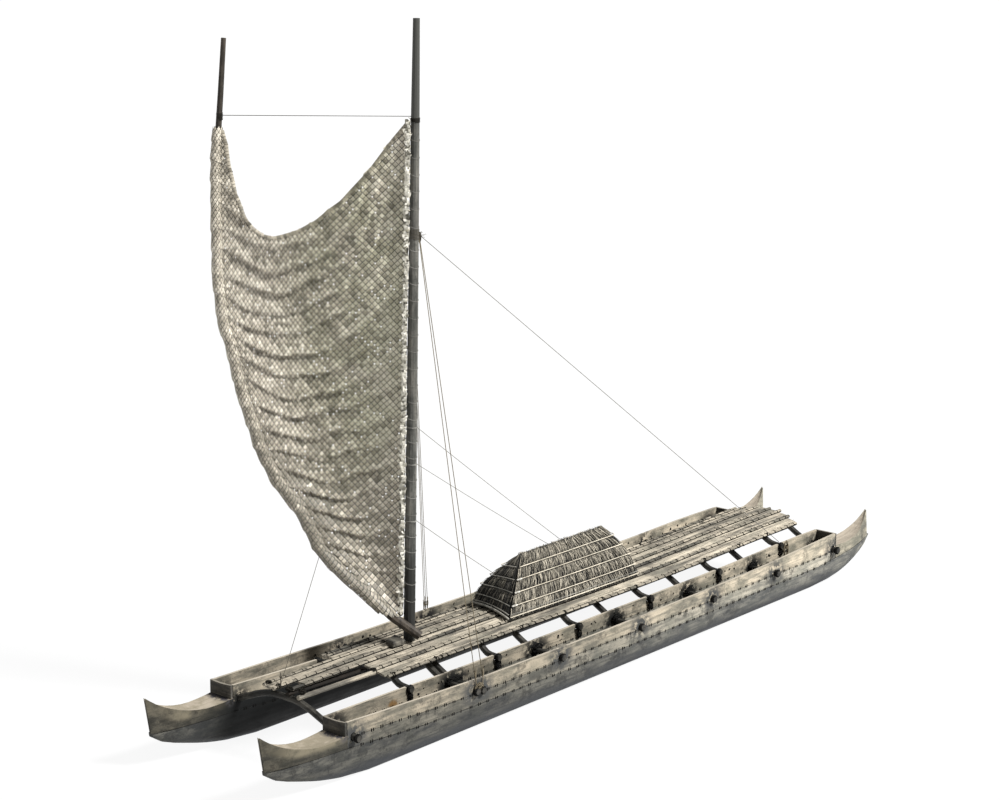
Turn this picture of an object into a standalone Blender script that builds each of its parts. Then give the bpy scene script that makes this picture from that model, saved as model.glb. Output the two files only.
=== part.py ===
"""Museum model of a double-hulled sailing canoe with a matting sail and a thatched deck house.

Lengths are in millimetres in the driving dimensions and become metres when a mesh is made.
+X points to the bow, +Y to port and +Z up; the two keels stand on z = 0.
"""
import math

import bmesh
import bpy
from mathutils import Matrix, Vector

MM = 0.001
GAP = 0.3                    # clearance kept between pieces that touch

# Driving dimensions of the hulls
HULL_OFFSET = 89.7           # centreline of the canoe to the centreline of a hull
COCKPIT_FORE = 482.0         # aft face of the bow piece
COCKPIT_AFT = {"port": -492.0, "starboard": -504.0}   # fore face of the aft board
BOARD = 3.0                  # thickness of the transverse boards
PLANK = 3.2                  # thickness of the side strakes
LOG_WALL = 4.5
LOG_FLOOR = 6.0
KEEL_FLAT = 2.5              # half width of the flat that the hull stands on

# Each line below is a few (x, value) points that a smooth curve runs through
KEEL = [(-602, 41), (-589, 31), (-559, 17), (-529, 7.6), (-498, 2.6), (-462, 0), (0, 0),
        (430, 0), (467, 2.2), (505, 8), (543, 17.8), (578, 29.5), (592, 38.5)]
HALF_BEAM = [(-602, 1.8), (-588, 5.5), (-560, 11), (-530, 14.5), (-492, 17.2), (-400, 20),
             (-200, 21.5), (0, 22), (200, 21.5), (400, 20), (485, 17.5), (515, 16), (545, 13),
             (570, 9.3), (590, 4.2), (600, 1.3)]
LOW_SEAM = [(-602, 43.2), (-560, 38.5), (-492, 34.5), (-450, 32.4), (-353, 32.7), (-271, 32.5),
            (-170, 31.6), (-43, 30.9), (38, 31.1), (116, 32), (191, 33), (264, 33.3), (316, 34),
            (359, 34.6), (401, 36.8), (461, 40.4), (489, 41.6), (528, 42.2), (560, 42.4), (600, 42.5)]
HIGH_SEAM = [(-504, 46.6), (-449, 46.4), (-352, 47.4), (-259, 47.4), (-170, 47), (-42, 46.9),
             (39, 46.9), (116, 47.5), (200, 47.9), (294, 48.3), (333, 49.2), (367, 50.8), (400, 52.1),
             (433, 52.8), (485, 53.3)]
SHEER = [(-504, 70.2), (-416, 69), (-324, 66.3), (-226, 65), (-118, 64.8), (36, 64.6), (185, 65.2),
         (273, 66), (343, 68), (450, 70.7), (485, 71.7)]
BOW_DECK = [(482, 56.2), (500, 54.7), (518, 54.3), (532, 55.5), (546, 58.1), (560, 62.1),
            (575, 68.1), (588, 75.2), (600, 84.2)]
STERN_DECK = [(-596, 80.7), (-591, 75.3), (-585, 69.6), (-578, 64.4), (-570, 59.8), (-560, 55.7),
              (-550, 53.1), (-539, 51.7), (-524, 51.2), (-510, 51.8), (-490, 53.2)]
STERN_HALF = [(-596, 0.9), (-590, 2.8), (-582, 5.2), (-572, 8), (-560, 10.6), (-545, 12.8),
              (-530, 14.4), (-510, 16), (-490, 17)]
STEM_RAKE = 0.17             # the stem leans forward by this much of its height
STERN_TIP = {"port": -596.0, "starboard": -600.5}
SPLASH_TOP, AFT_BOARD_TOP = 72.1, 69.7
OUTER_DIP = 1.6              # the port hull's outboard gunwale is lower amidships by this
FAR_TRIM = (0.0042, -0.55)   # the starboard hull's top line is a little bow-high: slope, offset

# Driving dimensions of the deck: poles and thin reeds side by side on the beams
DECK_CREST = [(-510, 86.9), (-386, 85.7), (-270, 83.4), (-150, 81.9), (-20, 82.9), (150, 85.7),
              (300, 86.4), (490, 86.9)]
DECK_DROP = 7.0              # how much lower the deck lies at DECK_HALF
DECK_HALF = 53.0
PLANK_DEEP = 2.4             # thickness of the pale flat poles
REED = 2.3                   # radius of the reeds between them

# Each flat pole: y of its middle, width, forward end, aft end; then each reed: y, forward end, aft end
DECK_POLES = [(43.8, 14.4, 361, -477), (24.3, 14.2, 360, -485), (6.3, 10.4, 452, -488),
              (-12.2, 14.6, 484, -490), (-31.8, 12.6, 362, -489), (-47.4, 7.4, 358, -484)]
REEDS = [(53.8, 359, -473), (34.2, 359, -484), (14.0, 473, -493), (-2.0, 487, 272.5),
         (-2.0, 255.5, -491), (-22.4, 482, -492), (-41.2, 360, -487), (-54.0, 357, -482)]
FORE_POLE = [(477.0, 27.0), (362.2, 36.0)]   # x, y of its ends
FORE_POLE_RISE = 2.0         # how much higher its aft end is, at the front of the flat poles
FORE_POLE_RADIUS = 2.9
UNDER_POLE = [(478.0, 11.5, 81.1), (353.0, 11.5, 77.2)]
UNDER_POLE_RADIUS = 2.6

# Driving dimensions of the beams: (x, height in a hull's inboard side, and in its outboard side)
# of each through-beam, x of each short beam
BEAM_RADIUS = 4.0
HOLE_SLACK = 0.45            # between a beam and the wood that it passes through
SIDE_YS = (70.0, 109.0)      # where a through-beam passes the two sides of a hull
THROUGH_BEAMS = [(472.5, 56.2, 52.4), (273.0, 51.4, 51.4), (262.6, 50.4, 50.4), (115.8, 51.6, 51.6),
                 (-41.8, 49.8, 49.8), (-195.5, 49.2, 49.2), (-340.6, 49.6, 49.6), (-486.0, 48.6, 48.6)]
SHORT_BEAMS = [344.0, 189.0, 34.0, -112.0, -262.0, -406.0]
BEAM_END = 116.5             # tip of a through-beam outside its hull
SHORT_END = 77.5             # tip of a short beam inside the hull
SHORT_SINK = 2.0             # a short beam's middle lies this far under the gunwale
BOW_BEAM_RISE = [(0.0, 74.4), (12.0, 74.1), (20.0, 73.6), (39.0, 69.0), (55.0, 62.5), (63.0, 59.2)]

# Driving dimensions of the deck house: its four hips as (level, x, y) from the eaves to the ridge
HUT_TOP = 144.6
HUT_LIFT = 2.7               # the thatch stands on the reeds
THATCH = 5.8
HIP_PORT_FORE = [(0.0, 127, 38.5), (0.2, 115.5, 32.2), (0.4, 102, 25.0), (0.6, 88.5, 17.2),
                 (0.8, 75, 9.2), (1.0, 60, 0.8)]
HIP_FAR_FORE = [(0.0, 104, 38.5), (0.2, 101.5, 36.0), (0.4, 98, 29.5), (0.6, 91.5, 19.5),
                (0.8, 81, 10.0), (1.0, 60, 0.8)]
HIP_AFT = [(0.0, -132, 38.5), (0.2, -130.5, 32.2), (0.4, -127.5, 25.0), (0.6, -122.5, 17.2),
           (0.8, -115, 9.2), (1.0, -102, 0.8)]

# Driving dimensions of the rig
MAST_FOOT = Vector((264.0, 0.0, 86.9))
MAST_HEAD = Vector((243.0, 0.0, 814.7))
SAIL_HEADING = math.radians(-50.0)   # the sail is swung out between bow and starboard
MAST_RADII = [(0, 7.0), (300, 6.4), (600, 5.2), (728, 4.0)]
MAST_LENGTH = 728.1
SAIL_THICKNESS = 2.4
SAIL_FOOT = 43.0             # how far up the mast the sail starts
SAIL_LUFF = 9.0              # the sail's edge at the mast is this far out
SAIL_PEAK = 217.0            # and its upper corner at the boom
SAIL_EDGE_GAP = 0.5          # between the sail's edge and the boom
SAIL_BELLY = 16.0
BOOM_STANDOFF = 13.0         # the boom's heel passes beside the mast, towards port
BOOM_MEETS = (15.0, 125.0)   # and comes into the sail's plane between these distances out

# The boom's line and the head of the sail: distance out from the mast, distance up it
BOOM_LINE = [(-13, 9.5), (19.4, 32), (40.4, 51), (82.2, 87), (104, 110), (125, 151.5),
             (154.5, 190.5), (174, 229), (196.5, 297.5), (208.4, 350), (217.3, 376.5), (223.6, 429),
             (225, 507), (225.3, 567), (222.6, 603), (220.2, 640), (216.6, 702)]
HEAD_LINE = [(6, 616), (27, 590), (52.5, 555), (84, 520), (96, 511), (112, 497), (131, 486), (148, 480),
             (160, 477), (171, 479), (183, 487), (192, 499), (202, 525), (210, 560), (213, 583), (218.7, 603)]
BOOM_RADII = [(0, 5.6), (180, 5.4), (520, 4.0), (760, 2.6)]

# Where the stays run, in this frame
HOUND_UP = 475.0             # distance of the stays' lashing up the mast
STAY_OFF = 6.7               # from the mast's middle to a stay's upper end
STAY_REST = 1.1              # from a stay's middle to the wood that it lies on
BACKSTAY_END_Y = 71.0        # on the aftmost short beam, at the port hull's gunwale
SHROUD_FEET = {"port": (268.0, 51.0), "starboard": (109.5, 53.0)}   # x and z, outside the hull
SHROUD_CLEAR = 1.3           # from the hull's side to the middle of a shroud

# The wedge-shaped block in front of the mast: its outline, and its two heights
CHOCK = [(275.0, -13.0), (298.0, -6.0), (300.0, 8.0), (281.0, 10.0)]
CHOCK_HIGH, CHOCK_BEVEL = 6.2, 4.2

PLAN_SHIFT = Vector((1.0, 29.9, 0.0))   # moves the middle of the plan onto the origin

WOOD_PALE = (0.50, 0.44, 0.35, 1.0)
WOOD_GREY = (0.33, 0.31, 0.27, 1.0)
WOOD_DARK = (0.17, 0.165, 0.15, 1.0)
THATCH_COLOUR = (0.22, 0.20, 0.17, 1.0)
MATTING = (0.42, 0.40, 0.33, 1.0)
FIBRE = (0.28, 0.24, 0.18, 1.0)


def new_collection(name):
    collection = bpy.data.collections.new(name)
    bpy.context.scene.collection.children.link(collection)
    return collection


def smooth_line(points):
    """A monotone cubic through (x, value) points, as a function of x."""
    points = sorted(points)
    xs = [p[0] for p in points]
    ys = [p[1] for p in points]
    steps = [(ys[i + 1] - ys[i]) / (xs[i + 1] - xs[i]) for i in range(len(xs) - 1)]
    slopes = [steps[0]]
    for before, after in zip(steps, steps[1:]):
        slopes.append(0.0 if before * after <= 0 else 2.0 * before * after / (before + after))
    slopes.append(steps[-1])

    def value(x):
        x = min(max(x, xs[0]), xs[-1])
        i = max(k for k in range(len(xs) - 1) if xs[k] <= x)
        h = xs[i + 1] - xs[i]
        t = (x - xs[i]) / h
        return (ys[i] * (1 + 2 * t) * (1 - t) ** 2 + slopes[i] * h * t * (1 - t) ** 2
                + ys[i + 1] * t * t * (3 - 2 * t) + slopes[i + 1] * h * t * t * (t - 1))

    return value


keel_z = smooth_line(KEEL)
half_beam = smooth_line(HALF_BEAM)
low_seam = smooth_line(LOW_SEAM)
high_seam = smooth_line(HIGH_SEAM)
sheer_z = smooth_line(SHEER)
bow_deck_z = smooth_line(BOW_DECK)
stern_deck_z = smooth_line(STERN_DECK)
stern_half = smooth_line(STERN_HALF)
deck_crest = smooth_line(DECK_CREST)
mast_radius = smooth_line(MAST_RADII)
boom_radius = smooth_line(BOOM_RADII)


def material(name, colour, roughness=0.8):
    made = bpy.data.materials.new(name)
    made.use_nodes = True
    shader = made.node_tree.nodes["Principled BSDF"]
    shader.inputs["Base Color"].default_value = colour
    shader.inputs["Roughness"].default_value = roughness
    shader.inputs["Metallic"].default_value = 0.0
    return made


def add_object(name, mesh, colour, smooth=False):
    """Put a mesh in the canoe's collection as the sub-part NAME."""
    made = bpy.data.objects.new(name, mesh)
    PARTS.objects.link(made)
    made.parent = FRAME
    mesh.materials.append(material(name, colour))
    if smooth:
        mesh.shade_smooth()
        mesh.set_sharp_from_angle(angle=math.radians(40))
    return made


def mesh_from(name, points, faces):
    mesh = bpy.data.meshes.new(name)
    mesh.from_pydata([tuple(c * MM for c in p) for p in points], [], faces)
    bm = bmesh.new()
    bm.from_mesh(mesh)
    bmesh.ops.recalc_face_normals(bm, faces=bm.faces)
    bm.to_mesh(mesh)
    bm.free()
    return mesh


def loft_mesh(name, rings):
    """A closed solid through rings of equally many points, capped at both ends."""
    count = len(rings[0])
    points = [p for ring in rings for p in ring]
    faces = []
    for r in range(len(rings) - 1):
        for i in range(count):
            j = (i + 1) % count
            a, b = r * count, (r + 1) * count
            faces.append((a + i, a + j, b + j, b + i))
    faces.append(tuple(range(count)))
    last = (len(rings) - 1) * count
    faces.append(tuple(reversed(range(last, last + count))))
    return mesh_from(name, points, faces)


def add_cutter(name, mesh):
    made = bpy.data.objects.new(name, mesh)
    CUTTERS.objects.link(made)
    made.parent = FRAME
    made.hide_render = True
    made.display_type = "WIRE"
    return made


def cut(target, cutter):
    boolean = target.modifiers.new("cut_" + cutter.name, "BOOLEAN")
    boolean.operation = "DIFFERENCE"
    boolean.solver = "EXACT"
    boolean.object = cutter


def stations(first, last, count):
    return [first + (last - first) * i / (count - 1) for i in range(count)]


def side_stations(hull):
    """Stations of a hull's side planks and of the log's edge under them, which share each bend."""
    return stations(COCKPIT_AFT[hull] + GAP, COCKPIT_FORE - GAP, 23)


def side_y(x, z):
    """Half width of the hull's outside at height z: full at the high seam, a little less above and below."""
    low, high, top = low_seam(x), high_seam(x), sheer_z(x)
    if z <= high:
        share = 0.97 + 0.03 * min(max((z - low) / max(high - low, 1.0), 0.0), 1.0)
    else:
        share = 1.0 - 0.02 * min((z - high) / (top - high), 1.0)
    return half_beam(x) * share


def log_ring(x, side, inset, floor, top, arcs=7):
    """Half round section of the log from one top edge round the keel to the other."""
    half = max(side_y(x, low_seam(x)) - inset, 0.8)
    bottom = keel_z(x) + floor
    flat = min(KEEL_FLAT, half * 0.6)
    ring = []
    for i in range(arcs + 1):
        angle = math.pi / 2 * (1 - i / arcs)
        ring.append((half - flat) * math.sin(angle) + flat)
    heights = [bottom + (top - bottom) * (1 - math.cos(math.pi / 2 * (1 - i / arcs)))
               for i in range(arcs + 1)]
    port = [(x, side + y, z) for y, z in zip(ring, heights)]
    starboard = [(x, side - y, z) for y, z in zip(reversed(ring), reversed(heights))]
    return port + starboard


def hull_log(name, hull, side):
    stern, bow = [-602, -589, -575, -559, -543, -529, -515], [490, 500, 513, 527, 543, 560, 578, 592]
    xs = stern + side_stations(hull) + bow
    rings = [log_ring(x, side, 0.0, 0.0, low_seam(x)) for x in xs]
    body = add_object(name, loft_mesh(name, rings), WOOD_GREY, smooth=True)
    inner = []
    for x in stations(COCKPIT_AFT[hull] + 1, COCKPIT_FORE - 1, 17):
        ring = log_ring(x, side, LOG_WALL, LOG_FLOOR, low_seam(x))
        ring = [(ring[0][0], ring[0][1], low_seam(x) + 8)] + ring
        ring = ring + [(ring[-1][0], ring[-1][1], low_seam(x) + 8)]
        inner.append(ring)
    cut(body, add_cutter(name + "_hollow", loft_mesh(name + "_hollow", inner)))
    return body


def gunwale_z(x, hull, hand):
    """Top edge of a hull's side; hand is +1 for its port face and -1 for its starboard face."""
    if hull == "starboard":
        return sheer_z(x) + far_trim(x)
    dip = OUTER_DIP * max(1 - (x / COCKPIT_FORE) ** 2, 0.0) if hand > 0 else 0.0
    return sheer_z(x) - dip


def far_trim(x):
    return FAR_TRIM[0] * x + FAR_TRIM[1]


def strake(name, hull, side, hand, lower, upper, colour):
    """A side plank between two height lines."""
    rings = []
    for x in side_stations(hull):
        bottom, top = lower(x) + GAP, upper(x)
        outer_low, outer_top = side_y(x, bottom), side_y(x, top)
        section = ((outer_low, bottom), (outer_top, top), (outer_top - PLANK, top), (outer_low - PLANK, bottom))
        rings.append([(x, side + hand * y, z) for y, z in section])
    return add_object(name, loft_mesh(name, rings), colour)


def end_piece(name, side, rows, deck_z):
    """A solid hull end with a sunk deck that rises to a sharp tip; the stem may lean out with its height."""
    rings = []
    for x, half, lean in rows:
        top, bottom = deck_z(x), low_seam(x) + GAP
        low_half = max(half_beam(x) * 0.97, half)
        ring = []
        one_side = [(low_half, 0.0), ((low_half + half) / 2, 0.5), (half, 1.0), (half * 0.55, 0.955)]
        other_side = [(-y, share) for y, share in reversed(one_side)]
        for y, z_share in one_side + [(0.0, 0.935)] + other_side:
            z = bottom + (top - bottom) * z_share
            ring.append((x - lean * (top - z), side + y, z))
        rings.append(ring)
    return add_object(name, loft_mesh(name, rings), WOOD_PALE)


def bow_piece(name, side, trim):
    """The bow: its deck rises to the tip over a raked stem."""
    rows = []
    for x in stations(COCKPIT_FORE, 560, 7) + [570, 579, 587, 593.5, 597.5, 600]:
        lean = STEM_RAKE * min(max((x - 540) / 60, 0.0), 1.0)
        rows.append((x, half_beam(x), lean))
    return end_piece(name, side, rows, lambda x: bow_deck_z(x) + trim(x))


def stern_piece(name, hull, side):
    """The stern: its deck rises to the tip over an upright after edge."""
    fore_end = COCKPIT_AFT[hull] - BOARD - GAP
    reach = (fore_end - STERN_TIP[hull]) / (COCKPIT_AFT["port"] - BOARD - GAP - STERN_TIP["port"])

    def port_x(x):
        return STERN_TIP["port"] + (x - STERN_TIP[hull]) / reach

    rows = []
    for x in [STERN_TIP["port"], -593, -588, -582, -575, -567, -558, -548, -536, -522, -508]:
        x = STERN_TIP[hull] + (x - STERN_TIP["port"]) * reach
        rows.append((x, stern_half(port_x(x)), 0.0))
    rows.append((fore_end, stern_half(port_x(fore_end)), 0.0))
    return end_piece(name, side, rows, lambda x: stern_deck_z(port_x(x)))


def cross_board(name, side, x_fore, bottom, top, colour, sag=0.0):
    """A board across the hull; its top edge may sag in the middle."""
    half_low, half_top = side_y(x_fore, bottom) - GAP, side_y(x_fore, top) - GAP
    outline = [(half_low, bottom)]
    for i in range(9):
        share = 1 - i / 4
        outline.append((half_top * share, top - sag * (1 - share * share)))
    outline.append((-half_low, bottom))
    rings = [[(x, side + y, z) for y, z in outline] for x in (x_fore - BOARD, x_fore)]
    return add_object(name, loft_mesh(name, rings), colour)


def tube(name, points, radius, colour, radii=None, sides=2):
    """A rod or spar along points, as a mesh with welded caps."""
    curve = bpy.data.curves.new(name + "_line", "CURVE")
    curve.dimensions = "3D"
    curve.bevel_depth = radius * MM
    curve.bevel_resolution = sides
    curve.use_fill_caps = True
    curve.render_resolution_u = 0
    spline = curve.splines.new("POLY")
    spline.points.add(len(points) - 1)
    for k, p in enumerate(points):
        spline.points[k].co = (p[0] * MM, p[1] * MM, p[2] * MM, 1.0)
        spline.points[k].radius = radii[k] / radius if radii else 1.0
    guide = bpy.data.objects.new(name + "_line", curve)
    bpy.context.scene.collection.objects.link(guide)
    bpy.context.view_layer.update()
    shape = guide.evaluated_get(bpy.context.evaluated_depsgraph_get())
    mesh = bpy.data.meshes.new_from_object(shape)
    mesh.name = name
    bpy.data.objects.remove(guide)
    bm = bmesh.new()
    bm.from_mesh(mesh)
    bmesh.ops.remove_doubles(bm, verts=bm.verts, dist=0.00002)
    bm.to_mesh(mesh)
    bm.free()
    return add_object(name, mesh, colour, smooth=True)


def deck_top(x, y):
    """Upper face of the flat deck poles."""
    return deck_crest(x) - DECK_DROP * (y / DECK_HALF) ** 2


def under_deck(x, y):
    """Height of a beam's middle under the deck."""
    return deck_top(x, y) - PLANK_DEEP - GAP - BEAM_RADIUS


def through_beam_line(x, inboard, outboard):
    """Height of a through-beam over y: bowed up to the deck in the middle, then straight through the hull."""
    hull = [(SIDE_YS[0], inboard), (SIDE_YS[1], outboard), (BEAM_END + 10, outboard)]
    if x > COCKPIT_FORE - 20:
        return smooth_line(BOW_BEAM_RISE + hull)
    crown = [(y, under_deck(x, y)) for y in (0.0, 8.0, 16.0)]
    return smooth_line(crown + [(28.0, (crown[-1][1] + 65.2) / 2 + 1.0), (40.0, 65.0), (56.0, 56.2),
                                (66.0, inboard + 0.6)] + hull)


def short_beam_line(x):
    """Height of a short beam over y: under the deck, then down to its notch in the gunwale."""
    notch = sheer_z(x) - SHORT_SINK
    return smooth_line([(y, under_deck(x, y)) for y in (0.0, 15.0, 30.0, 44.0)]
                       + [(57.0, notch + 1.0), (65.0, notch - 0.4), (SHORT_END, notch - 1.0)])


def beam_points(x, line, end, outer_ys):
    half = [0.0, 9.0, 18.0, 27.0, 36.0, 45.0, 52.0, 57.0, 62.0, 66.5] + outer_ys + [end]
    ys = [-y for y in reversed(half[1:])] + half
    return [(x, y, line(abs(y))) for y in ys]


def through_beam(name, x, inboard, outboard):
    points = beam_points(x, through_beam_line(x, inboard, outboard), BEAM_END, list(SIDE_YS))
    return tube(name, points, BEAM_RADIUS, WOOD_DARK)


def short_beam(name, x):
    points = beam_points(x, short_beam_line(x), SHORT_END, [SHORT_END - 5.5])
    return tube(name, points, BEAM_RADIUS, WOOD_DARK)


def beam_holes(name, side):
    """The holes of the through-beams in both sides of one hull, as one cutter."""
    bm = bmesh.new()
    radius = (BEAM_RADIUS + HOLE_SLACK) * MM
    hand = math.copysign(1.0, side)
    for x, inboard, outboard in THROUGH_BEAMS:
        middle = Matrix.Translation((x * MM, side * MM, (inboard + outboard) / 2 * MM))
        slope = math.atan2(outboard - inboard, SIDE_YS[1] - SIDE_YS[0]) * hand
        turn = middle @ Matrix.Rotation(slope, 4, "X") @ Matrix.Rotation(math.pi / 2, 4, "X")
        bmesh.ops.create_cone(bm, cap_ends=True, segments=12, radius1=radius, radius2=radius,
                              depth=60 * MM, matrix=turn)
    mesh = bpy.data.meshes.new(name)
    bm.to_mesh(mesh)
    bm.free()
    return add_cutter(name, mesh)


def short_notches(name, side):
    """Open notches in the inboard gunwale that the short beams lie in."""
    bm = bmesh.new()
    inboard = side - math.copysign(18.0, side)
    size = Vector(((BEAM_RADIUS + HOLE_SLACK) * 2, 22.0, 40.0)) * MM
    for x in SHORT_BEAMS:
        low = short_beam_line(x)(SHORT_END) - BEAM_RADIUS - GAP + 0.1
        middle = Matrix.Translation((x * MM, inboard * MM, low * MM + size.z / 2))
        bmesh.ops.create_cube(bm, size=1.0, matrix=middle @ Matrix.Diagonal((*size, 1)))
    mesh = bpy.data.meshes.new(name)
    bm.to_mesh(mesh)
    bm.free()
    return add_cutter(name, mesh)


def polyline_at(points, key, value, want):
    """Linear reading of a poly-line: the WANT coordinate where the KEY coordinate equals VALUE."""
    for a, b in zip(points, points[1:]):
        if a[key] <= value <= b[key]:
            share = (value - a[key]) / max(b[key] - a[key], 1e-9)
            return a[want] + (b[want] - a[want]) * share
    return points[-1][want] if value > points[-1][key] else points[0][want]


def pole_stations(aft, fore):
    """Stations along the deck for a pole that bends with the deck's crest."""
    bends = (-440, -386, -330, -270, -210, -150, -85, -20, 65, 150, 225, 300, 395)
    return [aft] + [x for x in bends if aft + 12 < x < fore - 12] + [fore]


def deck_pole(name, y, width, fore, aft):
    """A flat pale deck pole with rounded edges, turned to lie on the arched beams."""
    slope = math.atan(-2 * DECK_DROP * y / DECK_HALF ** 2)
    half, deep = width / 2, PLANK_DEEP / 2
    outline = [(half, 0.0), (half - 0.9, deep), (-half + 0.9, deep), (-half, 0.0), (-half + 0.9, -deep),
               (half - 0.9, -deep)]
    rings = []
    for x in pole_stations(aft, fore):
        middle = deck_top(x, y) - deep
        rings.append([(x, y + across * math.cos(slope) - up * math.sin(slope),
                       middle + across * math.sin(slope) + up * math.cos(slope)) for across, up in outline])
    return add_object(name, loft_mesh(name, rings), WOOD_PALE)


def reed(name, y, fore, aft):
    points = [(x, y, deck_top(x, y) - PLANK_DEEP + REED) for x in pole_stations(aft, fore)]
    return tube(name, points, REED, WOOD_GREY, sides=1)


def hip_point(hip, level, hand, inner):
    """A point of a hip line of the roof: on the thatch's outside, or inside it by its thickness."""
    x = polyline_at(hip, 0, level, 1)
    y = polyline_at(hip, 0, level, 2)
    if inner:
        foot = hip[0][2]
        x -= math.copysign(THATCH * (1.15 - 0.75 * level), x)
        y *= (foot - THATCH) / foot
    return x, hand * y


def roof_panel(name, hips, aside, columns):
    """One thatched slope between two hip lines; its hip edges are drawn in by half a gap."""
    levels = (0.0, 0.2, 0.4, 0.6, 0.8, 1.0)
    outer, inner = [], []
    for skin, drop in ((outer, 0.0), (inner, 1.7 * THATCH)):
        for level in levels:
            (ax, ay), (bx, by) = [hip_point(hip, level, hand, drop > 0) for hip, hand in hips]
            for i in range(columns + 1):
                share = i / columns
                x, y = ax + (bx - ax) * share, ay + (by - ay) * share
                x += aside[0] * (1 - 2 * share)
                y += aside[1] * (1 - 2 * share)
                foot = deck_top(x, y) + HUT_LIFT
                skin.append((x, y, foot + (HUT_TOP - drop - foot) * level))
    faces = sheet_faces(columns, len(levels) - 1)
    return add_object(name, mesh_from(name, outer + inner, faces), THATCH_COLOUR)


def sheet_faces(columns, rows):
    """Faces of a closed sheet whose front grid of points is followed by its back grid."""
    width = columns + 1
    offset = width * (rows + 1)
    faces = []
    for j in range(rows):
        for i in range(columns):
            a = j * width + i
            faces.append((a, a + 1, a + 1 + width, a + width))
            faces.append((offset + a, offset + a + width, offset + a + 1 + width, offset + a + 1))
    for i in range(columns):
        top = rows * width + i
        faces.append((i, offset + i, offset + i + 1, i + 1))
        faces.append((top, top + 1, offset + top + 1, offset + top))
    for j in range(rows):
        left, right = j * width, j * width + columns
        faces.append((left, left + width, offset + left + width, offset + left))
        faces.append((right, offset + right, offset + right + width, right + width))
    return faces


def thatched_roof():
    """The deck house: four thatched slopes that stand on the deck and meet at the hips and the ridge."""
    port_fore, far_fore = (HIP_PORT_FORE, 1), (HIP_FAR_FORE, -1)
    port_aft, far_aft = (HIP_AFT, 1), (HIP_AFT, -1)
    roof_panel("port_thatch_panel", (port_aft, port_fore), (GAP, 0.0), 9)
    roof_panel("starboard_thatch_panel", (far_aft, far_fore), (GAP, 0.0), 9)
    roof_panel("fore_thatch_panel", (port_fore, far_fore), (0.0, -GAP), 8)
    roof_panel("aft_thatch_panel", (port_aft, far_aft), (0.0, -GAP), 8)


MAST_UP = (MAST_HEAD - MAST_FOOT).normalized()
OUT_LEVEL = Vector((math.cos(SAIL_HEADING), math.sin(SAIL_HEADING), 0.0))
SAIL_OUT = (OUT_LEVEL - MAST_UP * OUT_LEVEL.dot(MAST_UP)).normalized()
SAIL_SIDE = MAST_UP.cross(SAIL_OUT)          # towards port and the bow


def rig_point(out, up, side=0.0):
    """A point of the sail's plane: out from the mast, up it, and off to the side."""
    return MAST_FOOT + SAIL_OUT * out + MAST_UP * up + SAIL_SIDE * side


def boom_side(out):
    """The boom passes the mast at its heel and comes into the sail's plane further out."""
    share = (out - BOOM_MEETS[0]) / (BOOM_MEETS[1] - BOOM_MEETS[0])
    return BOOM_STANDOFF * min(max(1 - share, 0.0), 1.0)


def mast(name):
    ups = [GAP, 120, 300, 480, 600, 680, MAST_LENGTH]
    points = [MAST_FOOT + MAST_UP * up for up in ups]
    return tube(name, points, MAST_RADII[0][1], WOOD_DARK, radii=[mast_radius(up) for up in ups], sides=4)


def boom(name):
    points = [rig_point(out, up, boom_side(out)) for out, up in BOOM_LINE]
    radii = [boom_radius(up) for out, up in BOOM_LINE]
    return tube(name, points, BOOM_RADII[0][1], WOOD_DARK, radii=radii, sides=3)


def sail_solid(name):
    """The matting sail as one curved sheet between the mast, the boom and its crescent head."""
    columns, rows = 13, 20
    front, back = [], []
    for j in range(rows + 1):
        share_up = j / rows
        for i in range(columns + 1):
            share_out = i / columns
            out_at_head = SAIL_LUFF + (SAIL_PEAK - SAIL_LUFF) * share_out
            head = polyline_at(HEAD_LINE, 0, out_at_head, 1)
            up = SAIL_FOOT + (head - SAIL_FOOT) * share_up
            slope = (polyline_at(BOOM_LINE, 1, up + 6, 0) - polyline_at(BOOM_LINE, 1, up - 6, 0)) / 12
            edge = (boom_radius(up) + SAIL_EDGE_GAP) * math.hypot(1.0, slope)
            reach = polyline_at(BOOM_LINE, 1, up, 0) - edge
            out = SAIL_LUFF + (reach - SAIL_LUFF) * share_out
            fullness = math.sin(math.pi * min(share_up * 1.05, 1.0)) ** 0.7
            belly = SAIL_BELLY * math.sin(math.pi * share_out) * fullness
            side = boom_side(out) * share_out - belly
            front.append(rig_point(out, up, side + SAIL_THICKNESS / 2))
            back.append(rig_point(out, up, side - SAIL_THICKNESS / 2))
    points = [tuple(p) for p in front + back]
    faces = sheet_faces(columns, rows)
    return add_object(name, mesh_from(name, points, faces), MATTING, smooth=True)


def mast_chock(name):
    """The wedge-shaped block lashed to the deck in front of the mast."""
    centre = sum(x for x, y in CHOCK) / len(CHOCK), sum(y for x, y in CHOCK) / len(CHOCK)
    low = deck_top(*centre) + 2 * REED - PLANK_DEEP
    rings = []
    for height, shrink in ((GAP, 1.0), (CHOCK_BEVEL, 1.0), (CHOCK_HIGH, 0.86)):
        rings.append([(centre[0] + (x - centre[0]) * shrink, centre[1] + (y - centre[1]) * shrink,
                       low + height) for x, y in CHOCK])
    return add_object(name, loft_mesh(name, rings), WOOD_GREY)


def stay(name, points, radius=0.6):
    return tube(name, [tuple(p) for p in points], radius, FIBRE, sides=1)


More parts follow.
